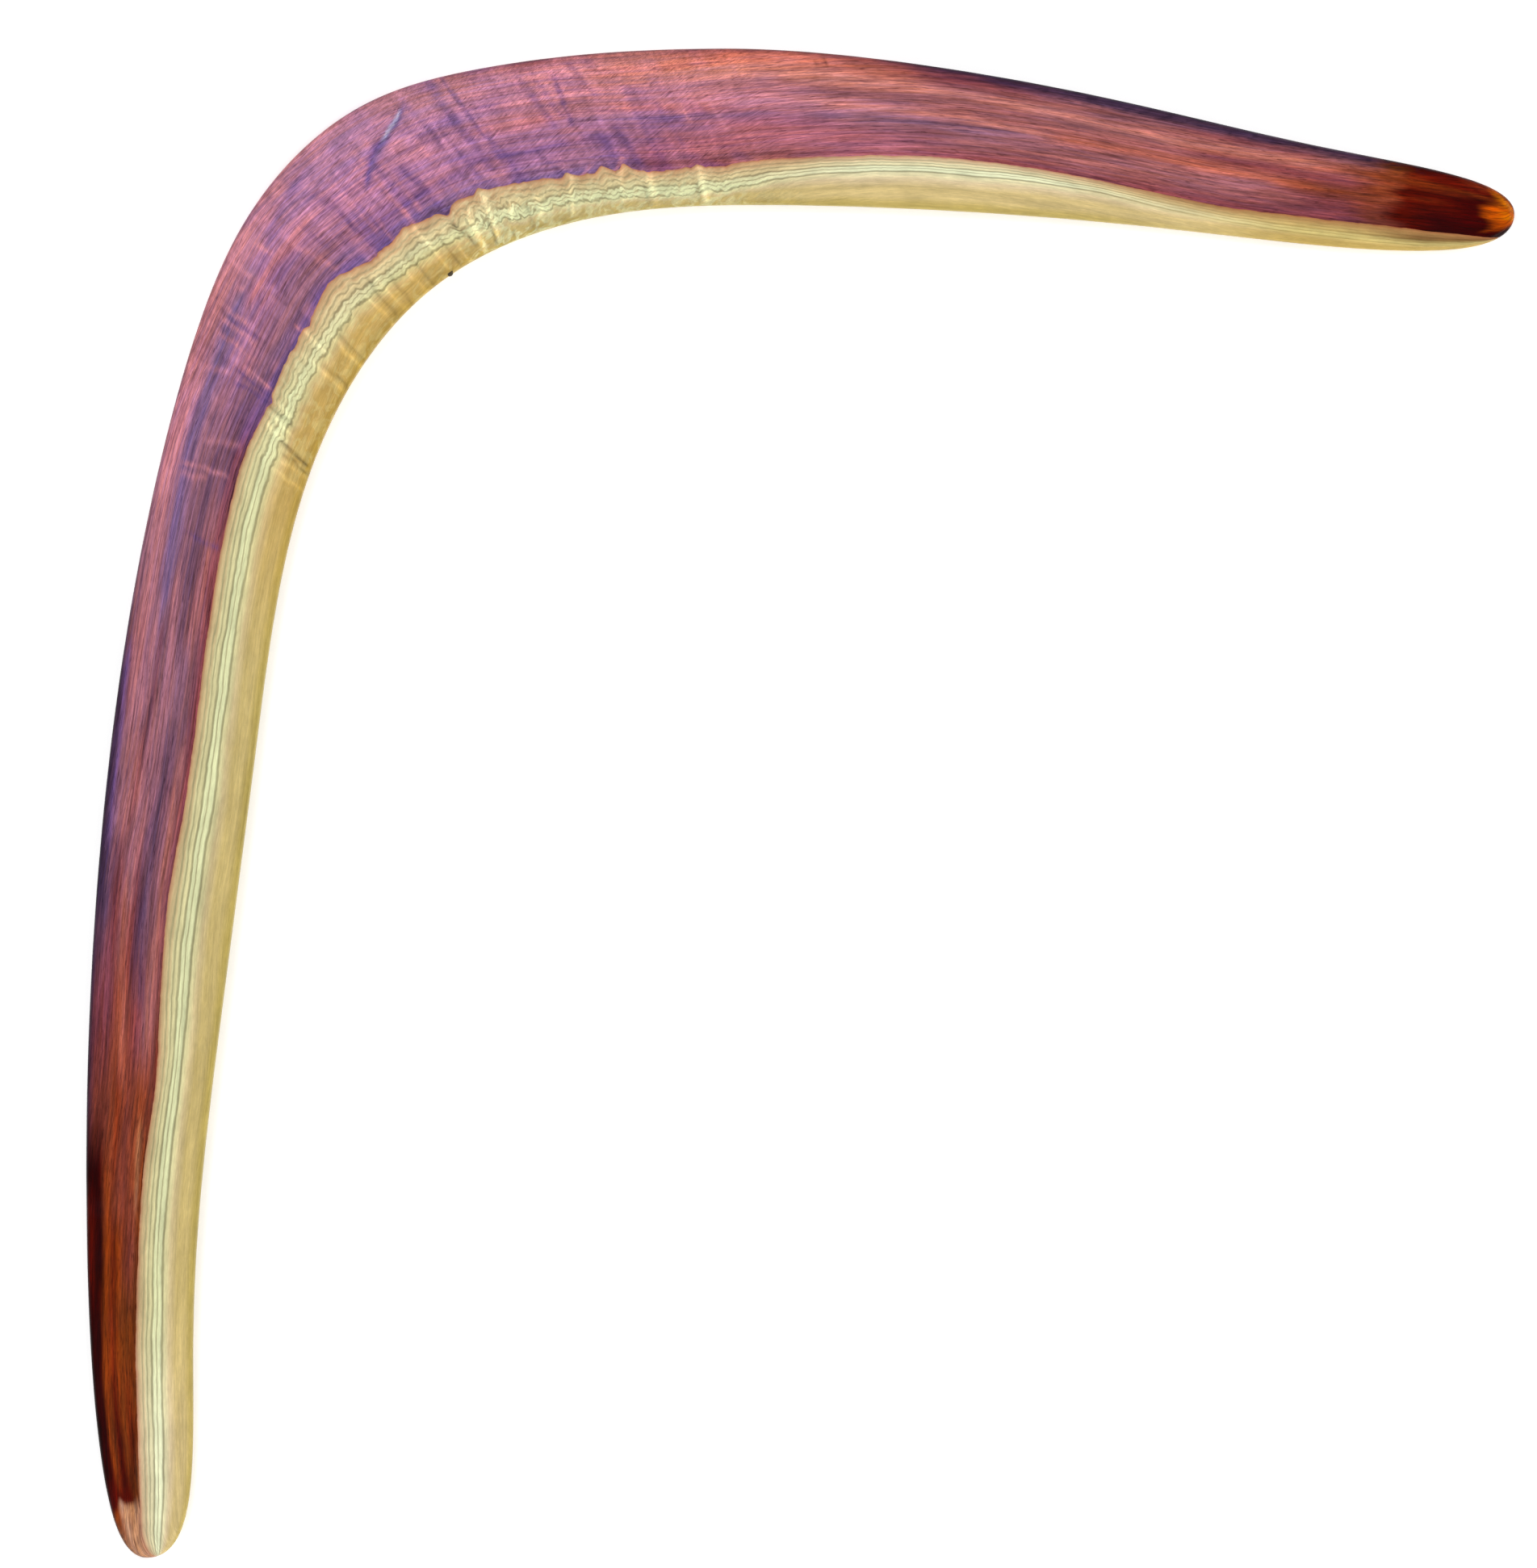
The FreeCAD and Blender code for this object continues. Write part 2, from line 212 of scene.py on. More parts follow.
# Sharp teeth of the ring in the curly bend: along, height, half length, all in millimetres.
RING_TEETH = [(320, -1.2, 2.0), (344, -0.8, 2.0), (394, -1.3, 2.0), (406, 1.6, 2.5),
              (430, 1.4, 2.0), (440, 1.5, 3.0), (446, 1.6, 1.6), (466, 1.3, 2.0)]
LOWER_TIP_SHARE = 0.65          # where the ring runs out through the end of the lower tip
UPPER_TIP_RING = [(668, 0.245), (676, 0.230), (681, 0.213), (684, 0.190), (687, 0.155),
                  (689.5, 0.105), (691.5, 0.050), (692.6, 0.0)]   # along, share
SAPWOOD_END = UPPER_TIP_RING[-1][0]   # where the ring runs out through the inner edge
LOWER_TIP_FADE = 11.0           # stretches in which the ring turns to its places at the tips
UPPER_TIP_FADE = 7.0
UNDERSIDE_LAG = 4.0             # underneath, the ring wanders this much further along
# Roughness of the ring: feature size, noise row and seed, height on the arms, added in the bend.
RING_ROUGHNESS = [(1.1, 3.0, 5, 0.08, 0.28), (3.2, 9.0, 8, 0.10, 0.40)]
# How curly the grain is: along, amount.
CURL = [(0, 0.0), (285, 0.05), (312, 0.45), (345, 0.8), (365, 1.0), (470, 1.0), (492, 0.25),
        (540, 0.05), (700, 0.0)]


def curl_at(along):
    return read_off(CURL, along)


def ring_share(side):
    """Share across the blade of the ring in each row; side 0 is the top, side 1 the underside."""
    wander = read_off(RING_WANDER, along_rows - UNDERSIDE_LAG * side)
    for place, tooth, half_length in RING_TEETH:
        wander += tooth * np.clip(1 - np.abs(along_rows - place) / half_length, 0.0, 1.0)
    curl = curl_at(along_rows)
    rough = np.zeros(len(along_rows))
    for size, noise_row, seed, on_arms, in_bend in RING_ROUGHNESS:
        rough += (on_arms + in_bend * curl) * noise(along_rows / size, noise_row, seed + side)
    ring = np.where(np.isnan(raw_ring), inner_rows, raw_ring) + wander + rough
    share = (ring - inner_rows) / width_rows
    tip = smoothstep(along_rows / LOWER_TIP_FADE)
    share = LOWER_TIP_SHARE + tip * (share - LOWER_TIP_SHARE)
    tip = smoothstep((along_rows - UPPER_TIP_RING[0][0]) / UPPER_TIP_FADE)
    share = share + tip * (read_off(UPPER_TIP_RING, along_rows) - share)
    return np.clip(share, 0.0, 0.95)


ring_top = ring_share(0)
ring_bottom = ring_share(1)
ring_smooth = evened(ring_top, 12.0)


# ---- heights of the blade ----

SKY = 40.0                      # rays start this far above and below the blade


def height(row, share, upward):
    """Height of the blade's skin in a row, met from below when upward, else from above."""
    distance = raw_inner[row] + share * (raw_outer[row] - raw_inner[row])
    place = Vector((*BEND_CENTRE, 0.0)) + direction(angle_rows[row]) * float(distance)
    place.z = -SKY if upward else SKY
    hit = blade.ray_cast(place, Vector((0, 0, 1 if upward else -1)), 2 * SKY)
    return hit[0].z if hit[0] is not None else SIDE_HEIGHT


def measured(shares, upward):
    """Heights on a grid of shares: rows by columns, evened out along the blade."""
    rows, columns = shares.shape
    heights = np.empty((rows, columns))
    for row in range(rows):
        for column in range(columns):
            heights[row, column] = height(row, shares[row, column], upward)
    for column in range(columns):
        heights[:, column] = evened(heights[:, column], SMOOTHING)
    return heights


def rounding_offsets(radius):
    """Distances from an edge that land evenly round its rounding, from the edge inwards."""
    turn = np.linspace(0.0, math.pi / 2, ROUNDING_STEPS + 1)[1:]
    return radius * (1 - np.cos(turn))


def columns_between(start, stop, radius, count, round_start, round_stop):
    """Shares of the columns from start to stop, finer where a rounded edge is at either end."""
    span = (stop - start)[:, None]
    width = width_rows[:, None]
    offsets = rounding_offsets(radius)[None, :]
    limit = np.minimum(1.0, ROUNDING_LIMIT * span * width / radius)
    near = offsets * limit / width
    left = start[:, None] + near
    right = (stop[:, None] - near)[:, ::-1]
    low = left[:, -1:] if round_start else start[:, None]
    high = right[:, :1] if round_stop else stop[:, None]
    steps = np.linspace(0.0, 1.0, count + 2)[None, 1:-1]
    parts = [low + (high - low) * steps]
    if round_start:
        parts.insert(0, left)
    if round_stop:
        parts.append(right)
    return np.concatenate(parts, axis=1)


# ---- the small hollows and ridges of the worked surface ----

# Cross-grain marks in the curly bend: along and share at one end, along and share at the other,
# half width in millimetres, and how much lighter (above 0) or darker (below 0) the wood is.
CRINKLES = [
    (286, 0.98, 290.5, 0.66, 1.1, 0.16), (290.5, 0.86, 295, 0.52, 0.8, 0.2),
    (275, 0.72, 276, 0.46, 0.9, -0.15), (300, 0.72, 304, 0.48, 1.2, 0.1),
    (313, 0.99, 319, 0.7, 1, 0.14), (318, 0.64, 319.5, 0.4, 0.7, -0.3),
    (321, 0.66, 321.5, 0.4, 0.6, -0.3), (322.6, 0.64, 323, 0.4, 0.6, 0.2),
    (325, 0.99, 326, 0.56, 0.8, 0.18), (328.6, 0.99, 329.4, 0.62, 0.7, 0.2),
    (331, 0.99, 332.5, 0.7, 0.7, 0.22), (330, 0.8, 331, 0.6, 0.7, -0.22),
    (335, 0.99, 338.5, 0.8, 0.7, 0.18), (341.5, 0.99, 342.5, 0.6, 0.6, 0.15),
    (348, 0.99, 350.5, 0.76, 0.7, 0.22), (341, 0.44, 341.5, 0.3, 0.6, 0.2),
    (356, 0.7, 361, 0.42, 0.9, 0.16), (361.5, 0.74, 363, 0.5, 0.8, -0.14),
    (366, 0.96, 371.5, 0.6, 1.3, -0.16), (371, 0.6, 373, 0.28, 0.8, -0.28),
    (374.5, 0.8, 375.5, 0.4, 0.8, 0.14), (377.5, 0.6, 378, 0.3, 0.7, 0.12),
    (384.5, 0.8, 385, 0.28, 0.8, 0.2), (388.5, 0.84, 389, 0.36, 0.9, 0.16),
    (386.6, 0.7, 387, 0.34, 0.7, -0.15), (392, 0.6, 394.5, 0.26, 1.4, -0.3),
    (399, 0.7, 400, 0.34, 0.8, 0.12), (403, 0.95, 404.5, 0.6, 1.2, -0.18),
    (406.5, 0.7, 408, 0.36, 0.9, -0.2), (411, 0.99, 412, 0.4, 1.8, -0.3),
    (414.6, 0.99, 416, 0.44, 0.8, -0.3), (417, 0.62, 418, 0.3, 1, -0.18),
    (425.5, 0.44, 429, 0.28, 0.9, -0.16), (432.5, 0.92, 434, 0.55, 1.6, -0.22),
    (436, 0.92, 437.5, 0.6, 1.1, -0.16), (441, 0.88, 438.5, 0.56, 1, -0.26),
    (446.5, 0.95, 449, 0.7, 1.2, -0.14), (444, 0.5, 445, 0.34, 1.6, -0.24),
    (449.5, 0.52, 450.5, 0.26, 1.6, -0.26), (456, 0.62, 457.5, 0.3, 1, -0.1),
    (463, 0.66, 465, 0.36, 1, -0.14), (469, 0.7, 470, 0.52, 0.6, 0.3), (476, 0.72, 479, 0.46, 1, 0.12),
    (487, 0.9, 488.5, 0.6, 0.9, 0.08), (437, 0.3, 431, 0.2, 0.9, 0.25),
    (447, 0.33, 443, 0.25, 0.8, 0.3),
]


def crossing_weight(along, share, start_along, start_share, end_along, end_share, half_width):
    """How strongly a cross-grain mark shows at each place."""
    t = (share - start_share) / (end_share - start_share)
    centre = start_along + (end_along - start_along) * t
    centre = centre + 0.5 * noise(share * 16, start_along, 3)
    ends = smoothstep((t + 0.10) / 0.16) * smoothstep((1.10 - t) / 0.16)
    ragged = 1 + 0.5 * noise(share * 30, start_along, 7)
    return ends * ragged * np.exp(-((along - centre) / (0.8 * half_width)) ** 2)


def crinkle_shade(along, share):
    """The sum of the cross-grain marks, lighter above 0 and darker below."""
    total = np.zeros(np.shape(along))
    for *stroke, shade in CRINKLES:
        total += shade * crossing_weight(along, share, *stroke)
    return total


# Two tiny pin knots near the outer edge: along, share, half length, half width, millimetres.
PIN_KNOTS = [(509.6, 0.925, 1.1, 0.45), (512.0, 0.93, 1.2, 0.5)]


def knot_weight(along, share, width):
    total = np.zeros(np.shape(along))
    for place, centre, half_length, half_width in PIN_KNOTS:
        across = (share - centre) * width / half_length
        total += np.exp(-(across ** 2) - ((along - place) / half_width) ** 2)
    return np.clip(total, 0.0, 1.0)


# The healed check in the bend, a shallow groove: along and share at its two ends.
CHECK = (379.5, 0.60, 404.0, 0.93)
CHECK_DEPTH = 0.25
CHECK_GROOVE = 0.7              # half width of the groove
CHECK_BOW = 0.015               # how far it bows to either side, as a share
CHECK_RAGGEDNESS = 0.006
BEND_WIDTH = 52.0               # width of the blade at the check
TOOLING_HEIGHT = 0.05           # traces of the tool, everywhere
RIPPLE_HEIGHT = 0.07            # ripple of the curly grain
CRINKLE_HEIGHT = 0.16           # relief of the cross-grain marks


def check_weight(along, share, half_width):
    start_along, start_share, end_along, end_share = CHECK
    t = (along - start_along) / (end_along - start_along)
    bow = CHECK_BOW * np.sin(math.pi * 2 * t)
    centre = start_share + (end_share - start_share) * t + bow
    centre = centre + CHECK_RAGGEDNESS * noise(along / 2.5, 1, 4)
    ends = smoothstep(t / 0.15) * smoothstep((1 - t) / 0.15)
    return ends * np.exp(-((share - centre) * BEND_WIDTH / half_width) ** 2)


def surface_relief(along, share):
    """Small changes in the height of the top, in millimetres."""
    curl = curl_at(along)
    tooling = TOOLING_HEIGHT * noise(along / 34.0, share * 5.0, 11)
    ripple = RIPPLE_HEIGHT * curl * noise(along / 4.0, share * 3.0, 12)
    marks = CRINKLE_HEIGHT * crinkle_shade(along, share)
    groove = -CHECK_DEPTH * check_weight(along, share, CHECK_GROOVE)
    return tooling + ripple + marks + groove


# ---- meshes ----

def grid_piece(name, rows, loop_shares, loop_heights, body):
    """A closed piece: in each row a loop of points round its section, joined row to row."""
    count = len(rows)
    size = loop_shares.shape[1]
    distance = inner_rows[rows, None] + loop_shares * width_rows[rows, None]
    x = BEND_CENTRE[0] + distance * np.cos(angle_rows[rows])[:, None]
    y = BEND_CENTRE[1] + distance * np.sin(angle_rows[rows])[:, None]
    points = np.stack([x, y, loop_heights], axis=-1).reshape(-1, 3) * MM
    faces = []
    for row in range(count - 1):
        for k in range(size):
            after = (k + 1) % size
            a = row * size + k
            b = row * size + after
            faces.append((a, b, b + size, a + size))
    faces.append(tuple(range(size - 1, -1, -1)))
    faces.append(tuple((count - 1) * size + k for k in range(size)))
    mesh = bpy.data.meshes.new(name)
    mesh.from_pydata(points.tolist(), [], faces)
    mesh.update()
    mesh.shade_smooth()
    piece = bpy.data.objects.new(name, mesh)
    bpy.context.scene.collection.objects.link(piece)
    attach(piece, body)
    return piece


def mark_sharp(piece, size, columns):
    """Makes the lines of points at the given places in the loop sharp, so that flats stay flat."""
    mesh = piece.data
    pairs = np.zeros(len(mesh.edges) * 2, dtype=np.int64)
    mesh.edges.foreach_get("vertices", pairs)
    pairs = pairs.reshape(-1, 2)
    place = pairs % size
    lengthwise = (place[:, 0] == place[:, 1]) & np.isin(place[:, 0], columns)
    sharp = mesh.attributes.new("sharp_edge", "BOOLEAN", "EDGE")
    sharp.data.foreach_set("value", lengthwise)


def set_float(mesh, name, values):
    """One number for each point, which a material reads by its name."""
    layer = mesh.attributes.new(name, "FLOAT", "POINT")
    layer.data.foreach_set("value", np.asarray(values, np.float32).ravel())


def set_vector(mesh, name, values):
    layer = mesh.attributes.new(name, "FLOAT_VECTOR", "POINT")
    layer.data.foreach_set("vector", np.asarray(values, np.float32).ravel())


def set_colour(mesh, name, values):
    """values are linear red, green and blue."""
    values = np.maximum(np.asarray(values, float).reshape(-1, 3), 0.0)
    rgba = np.concatenate([values, np.ones((len(values), 1))], axis=1)
    layer = mesh.color_attributes.new(name, "FLOAT_COLOR", "POINT")
    layer.data.foreach_set("color", rgba.astype(np.float32).ravel())


# ---- colours ----

PALETTE = {
    # heartwood
    "ink": "34243e", "plum": "68485e", "dusk": "7c6086", "violet": "70528a", "mauve": "906272",
    "orchid": "ac7696", "lilac": "c488aa", "rose": "b87882", "blossom": "d08894",
    "salmon": "d4887a", "coral": "cc7464", "terracotta": "bc6a58", "rosewood": "9c6062",
    "wine": "804048", "russet": "78382c", "brick": "904428", "rust": "7e2a0c", "ember": "8a3a0c",
    "umber": "703410", "mahogany": "560a00", "garnet": "3c0000", "soot": "220000",
    "amber": "b44c00", "flame": "c87000", "blush": "cc9a78", "tan": "b8845e", "raspberry": "ae6876",
    # sapwood
    "olive": "b09c50", "moss": "baa45c", "straw": "c6b072", "cream": "dad29e", "lime": "e0e2b0",
    "grey": "a39e76", "rush": "a6a078", "sand": "bca678", "wheat": "d0bc8c", "peach": "cea680",
    "bark_brown": "a86c4c",
}


def linear(code):
    """Linear red, green and blue of a hex colour."""
    parts = np.array([int(code[i:i + 2], 16) for i in (0, 2, 4)]) / 255.0
    return np.where(parts <= 0.04045, parts / 12.92, ((parts + 0.055) / 1.055) ** 2.4)


COLOUR = {name: linear(code) for name, code in PALETTE.items()}

# What the heartwood shows from the ring to the outer edge, at stations along the blade:
# along, then a share and a colour at each place across.
HEART_STATIONS = [
    (0, "0.60 tan, 0.80 blush, 1.00 tan"),
    (15, "0.60 blush, 0.72 tan, 0.86 blush, 0.93 ember, 1.00 umber"),
    (18, "0.58 tan, 0.64 umber, 0.74 mahogany, 0.90 mahogany, 1.00 garnet"),
    (34, "0.57 umber, 0.64 rust, 0.70 umber, 0.77 mahogany, 0.84 umber, 0.91 garnet, 1.00 soot"),
    (60, "0.55 umber, 0.66 umber, 0.72 ember, 0.77 rust, 0.83 ember, 0.90 garnet, 1.00 soot"),
    (84, "0.50 umber, 0.60 russet, 0.70 ember, 0.76 rust, 0.80 ember, 0.86 garnet, "
     "0.93 mahogany, 1.00 garnet"),
    (104, "0.47 umber, 0.58 brick, 0.66 russet, 0.78 brick, 0.87 garnet, 1.00 soot"),
    (124, "0.44 russet, 0.56 brick, 0.66 russet, 0.76 brick, 0.84 russet, 0.92 russet, 1.00 ink"),
    (148, "0.45 russet, 0.54 rosewood, 0.62 wine, 0.75 brick, 0.84 wine, 0.93 wine, 1.00 ink"),
    (176, "0.45 wine, 0.54 rosewood, 0.63 plum, 0.70 wine, 0.76 rosewood, 0.84 wine, 0.92 plum, 1.00 ink"),
    (204, "0.43 wine, 0.50 rosewood, 0.60 plum, 0.71 rose, 0.80 rosewood, 0.89 mauve, 0.95 plum, 1.00 ink"),
    (232, "0.42 wine, 0.50 mauve, 0.60 mauve, 0.69 mauve, 0.76 mauve, 0.84 rose, 0.91 rosewood, 1.00 ink"),
    (268, "0.43 wine, 0.52 rosewood, 0.62 plum, 0.70 mauve, 0.78 dusk, 0.88 rose, 1.00 mauve"),
    (300, "0.42 wine, 0.50 plum, 0.62 mauve, 0.74 mauve, 0.81 dusk, 0.90 blossom, 1.00 rose"),
    (328, "0.37 dusk, 0.50 mauve, 0.66 orchid, 0.80 dusk, 0.90 rose, 1.00 rose"),
    (352, "0.34 dusk, 0.50 mauve, 0.66 orchid, 0.80 orchid, 0.92 blossom, 1.00 rose"),
    # In the bend the lilac is the wood's colour with a painted pinkish-lilac sheen in it.
    (380, "0.30 dusk, 0.44 orchid, 0.60 lilac, 0.75 lilac, 0.90 orchid, 1.00 rose"),
    (408, "0.27 dusk, 0.42 orchid, 0.60 lilac, 0.76 lilac, 0.90 rose, 1.00 rose"),
    (438, "0.25 dusk, 0.40 orchid, 0.54 orchid, 0.66 rose, 0.80 blossom, 0.92 blossom, 1.00 wine"),
    (462, "0.24 wine, 0.38 raspberry, 0.52 orchid, 0.62 blossom, 0.74 rose, 0.86 salmon, 1.00 rosewood"),
    (488, "0.28 rosewood, 0.40 raspberry, 0.54 raspberry, 0.66 blossom, 0.76 rose, 0.86 salmon, "
     "0.95 coral, 1.00 wine"),
    (516, "0.32 raspberry, 0.46 raspberry, 0.57 mauve, 0.66 rose, 0.74 rosewood, 0.84 salmon, "
     "0.92 terracotta, 1.00 wine"),
    (548, "0.34 wine, 0.46 rosewood, 0.57 mauve, 0.64 rosewood, 0.74 rosewood, 0.82 rosewood, "
     "0.91 wine, 1.00 ink"),
    (584, "0.29 wine, 0.42 rosewood, 0.52 rosewood, 0.58 terracotta, 0.68 rosewood, "
     "0.78 rosewood, 0.87 rosewood, 0.93 plum, 1.00 ink"),
    (618, "0.25 wine, 0.40 rosewood, 0.50 rosewood, 0.56 terracotta, 0.67 wine, 0.76 terracotta, "
     "0.86 rosewood, 0.93 plum, 1.00 ink"),
    (646, "0.24 wine, 0.42 wine, 0.56 brick, 0.68 wine, 0.80 terracotta, 0.90 rosewood, 1.00 plum"),
    (659, "0.22 russet, 0.40 russet, 0.60 brick, 0.80 brick, 0.92 umber, 1.00 garnet"),
    (666, "0.20 garnet, 0.40 mahogany, 0.60 mahogany, 0.72 mahogany, 0.82 rust, 0.92 mahogany, "
          "1.00 garnet"),
    (675, "0.20 soot, 0.40 garnet, 0.60 mahogany, 0.74 garnet, 0.82 mahogany, 0.92 mahogany, 1.00 garnet"),
    (685, "0.15 soot, 0.35 garnet, 0.75 garnet, 0.87 mahogany, 0.95 rust, 1.00 mahogany"),
    (690, "0.10 soot, 0.20 garnet, 0.30 amber, 0.70 amber, 0.88 flame, 1.00 amber"),
    (696, "0.10 soot, 0.26 amber, 0.55 flame, 0.90 amber, 1.00 umber"),
]


def pairs_of(text):
    """The pairs of words in a row such as "0.60 tan, 0.80 blush"."""
    return [pair.split() for pair in text.split(", ")]


def station_colour(along, share, stations):
    """Colour between stations, blended both along and across the blade."""
    places = np.array([place for place, _ in stations], float)
    across = []
    for _, text in stations:
        shares = [float(place) for place, _ in pairs_of(text)]
        colours = np.array([COLOUR[name] for _, name in pairs_of(text)])
        across.append(np.stack([np.interp(share, shares, colours[:, c]) for c in range(3)], -1))
    across = np.array(across)
    position = np.interp(along, places, np.arange(len(places)))
    low = np.clip(np.floor(position).astype(int), 0, len(places) - 2)
    mix = smoothstep(position - low)[:, None]
    rows = np.arange(len(along))
    return across[low, rows] * (1 - mix) + across[low + 1, rows] * mix


# Streaks that run along the grain: colour, strength, half width in millimetres, and a path of
# along and share.
HEART_STREAKS = [
    ("ember", 0.7, 0.8, "22 0.86, 45 0.87, 60 0.85, 75 0.81, 90 0.79, 106 0.8"),
    ("soot", 0.7, 1.3, "22 0.96, 40 0.94, 60 0.91, 78 0.88, 96 0.87, 108 0.93"),
    ("tan", 0.5, 0.6, "96 0.545, 108 0.55, 118 0.545"),
    ("rust", 0.6, 0.9, "100 0.745, 120 0.745, 134 0.74"),
    ("terracotta", 0.45, 1, "128 0.72, 150 0.735, 165 0.77, 178 0.77"),
    ("soot", 0.7, 0.8, "20 0.635, 28 0.63, 38 0.615"),
    ("soot", 0.5, 1, "19 0.76, 28 0.775, 38 0.76"),
    ("garnet", 0.5, 0.7, "58 0.745, 76 0.725, 94 0.735"),
    ("salmon", 0.3, 0.8, "140 0.54, 155 0.55, 170 0.545, 190 0.52, 206 0.5, 222 0.475"),
    ("plum", 0.55, 1.6, "150 0.62, 168 0.63, 186 0.62, 204 0.6, 226 0.58"),
    ("ink", 0.4, 0.7, "158 0.67, 176 0.67, 190 0.65"),
    ("ink", 0.8, 1.6, "170 0.975, 186 0.955, 204 0.955, 220 0.955, 236 0.965"),
    ("violet", 0.5, 1, "188 0.93, 206 0.925, 222 0.93, 240 0.95"),
    ("rose", 0.7, 1.2, "176 0.74, 196 0.74, 210 0.7, 228 0.67, 246 0.68, 262 0.72"),
    ("rose", 0.6, 1.1, "196 0.83, 214 0.83, 232 0.8, 246 0.8"),
    ("wine", 0.55, 0.9, "196 0.78, 214 0.76, 230 0.74, 248 0.75"),
    ("dusk", 0.8, 1.6, "256 0.77, 274 0.8, 290 0.82, 308 0.8, 326 0.79, 344 0.82"),
    ("plum", 0.5, 1.6, "262 0.6, 276 0.62, 292 0.62, 306 0.58, 318 0.52"),
    ("wine", 0.5, 1, "262 0.47, 284 0.48, 300 0.49, 312 0.46"),
    ("violet", 0.6, 2, "306 0.47, 316 0.45, 330 0.4, 346 0.39, 366 0.37, 380 0.33"),
    ("coral", 0.5, 1.4, "336 0.74, 346 0.72, 356 0.69, 364 0.7"),
    ("violet", 0.5, 1.6, "350 0.8, 362 0.86, 372 0.9"),
    ("violet", 0.55, 1.6, "366 0.47, 382 0.42, 396 0.43, 410 0.47, 424 0.45, 438 0.47, 450 0.45"),
    ("violet", 0.55, 1.8, "404 0.52, 412 0.47, 420 0.44"),
    ("blossom", 0.6, 1.5, "386 0.66, 396 0.63, 404 0.68"),
    ("coral", 0.45, 1.3, "412 0.64, 424 0.62, 436 0.63"),
    ("dusk", 0.5, 1.1, "438 0.6, 452 0.56, 466 0.55, 480 0.55, 496 0.57"),
    ("plum", 0.4, 0.9, "506 0.58, 524 0.58, 548 0.585, 566 0.57"),
    ("coral", 0.55, 1.2, "452 0.63, 466 0.6, 480 0.61"),
    ("salmon", 0.5, 1, "500 0.67, 516 0.65, 532 0.645, 552 0.62, 566 0.6"),
    ("coral", 0.6, 1.4, "452 0.86, 470 0.88, 488 0.93, 506 0.93, 522 0.9"),
    ("salmon", 0.6, 1.4, "478 0.83, 500 0.83, 520 0.82, 540 0.8, 560 0.8, 580 0.77, 600 0.75, "
     "618 0.77, 640 0.8"),
    ("coral", 0.5, 0.9, "572 0.6, 590 0.58, 606 0.56, 620 0.54"),
    ("ink", 0.75, 1.7, "552 0.965, 572 0.955, 594 0.935, 612 0.93, 634 0.95, 656 0.965"),
    ("wine", 0.6, 0.9, "604 0.86, 622 0.86, 640 0.88"),
    ("ember", 0.45, 0.6, "648 0.8, 664 0.795, 676 0.8, 690 0.8"),
    ("rust", 0.5, 0.5, "652 0.6, 664 0.6, 674 0.61"),
    ("rust", 0.5, 0.5, "656 0.74, 668 0.735, 680 0.745"),
    ("wine", 0.6, 0.6, "486 0.3, 510 0.335, 536 0.365, 560 0.34, 590 0.29, 620 0.265, 650 0.265"),
]


STREAK_FADE = 5                 # a streak fades over this far to either side of its ends


def streak_weight(along, share, width, half_width, path):
    """How strongly a streak along the grain shows at each place."""
    start, end = path[0][0], path[-1][0]
    centre = read_off(path, along)
    ends = smoothstep((along - start + STREAK_FADE) / (2 * STREAK_FADE))
    ends = ends * smoothstep((end + STREAK_FADE - along) / (2 * STREAK_FADE))
    swell = 1 + 0.3 * noise(along / 9.0, start, 6)
    return ends * np.exp(-((share - centre) * width / (half_width * swell)) ** 2)


def towards(colour, other, weight):
    return colour + (other - colour) * weight[:, None]


BRIGHTNESS = 1.07               # makes up for what fibres and pores take away
CHECK_STAIN = np.array([0.13, 0.08, 0.27])    # linear colours of the healed check
CHECK_SLIVER = np.array([0.56, 0.52, 0.68])
STAIN_PLACE = 388.5
STAIN_STRENGTH = 0.85
SLIVER_STRENGTH = 0.9
SLIVER = (391, 3, 402, 3)       # along: start, fade, end and fade of the bright sliver in the check
DRIFT = 3.0                     # how far the figure strays along the blade, in millimetres
UNDERSIDE_DRIFT = 4.0           # and how much further underneath
STROKE_DEPTH = 0.14             # light and dark strokes along the grain
PATCH_STRENGTH = 0.30           # violet patches in the curly bend
PAINTED_SHEEN_STRENGTH = 0.35            # painted pink sheen in the curly bend
DARK_MARKS = (2.2, 0.60)        # cross-grain marks: strength for one unit of shade, and its limit
LIGHT_MARKS = (3.0, 0.65)
KNOT_STRENGTH = 0.6
SCORCH = (540, 40, 680, 30)     # along: start, fade, end and fade of the speckled scorch on the rim
SCORCH_START = 0.86             # the share at which it starts
SCORCH_FADE = 0.08              # and over which it fades in
SCORCH_STRENGTH = 0.55
SHADED_RIM_WIDTH = 0.8                 # painted shade: the rounded outer edge is darker over about this width
RIM_PAINTED_SHADE = 0.5


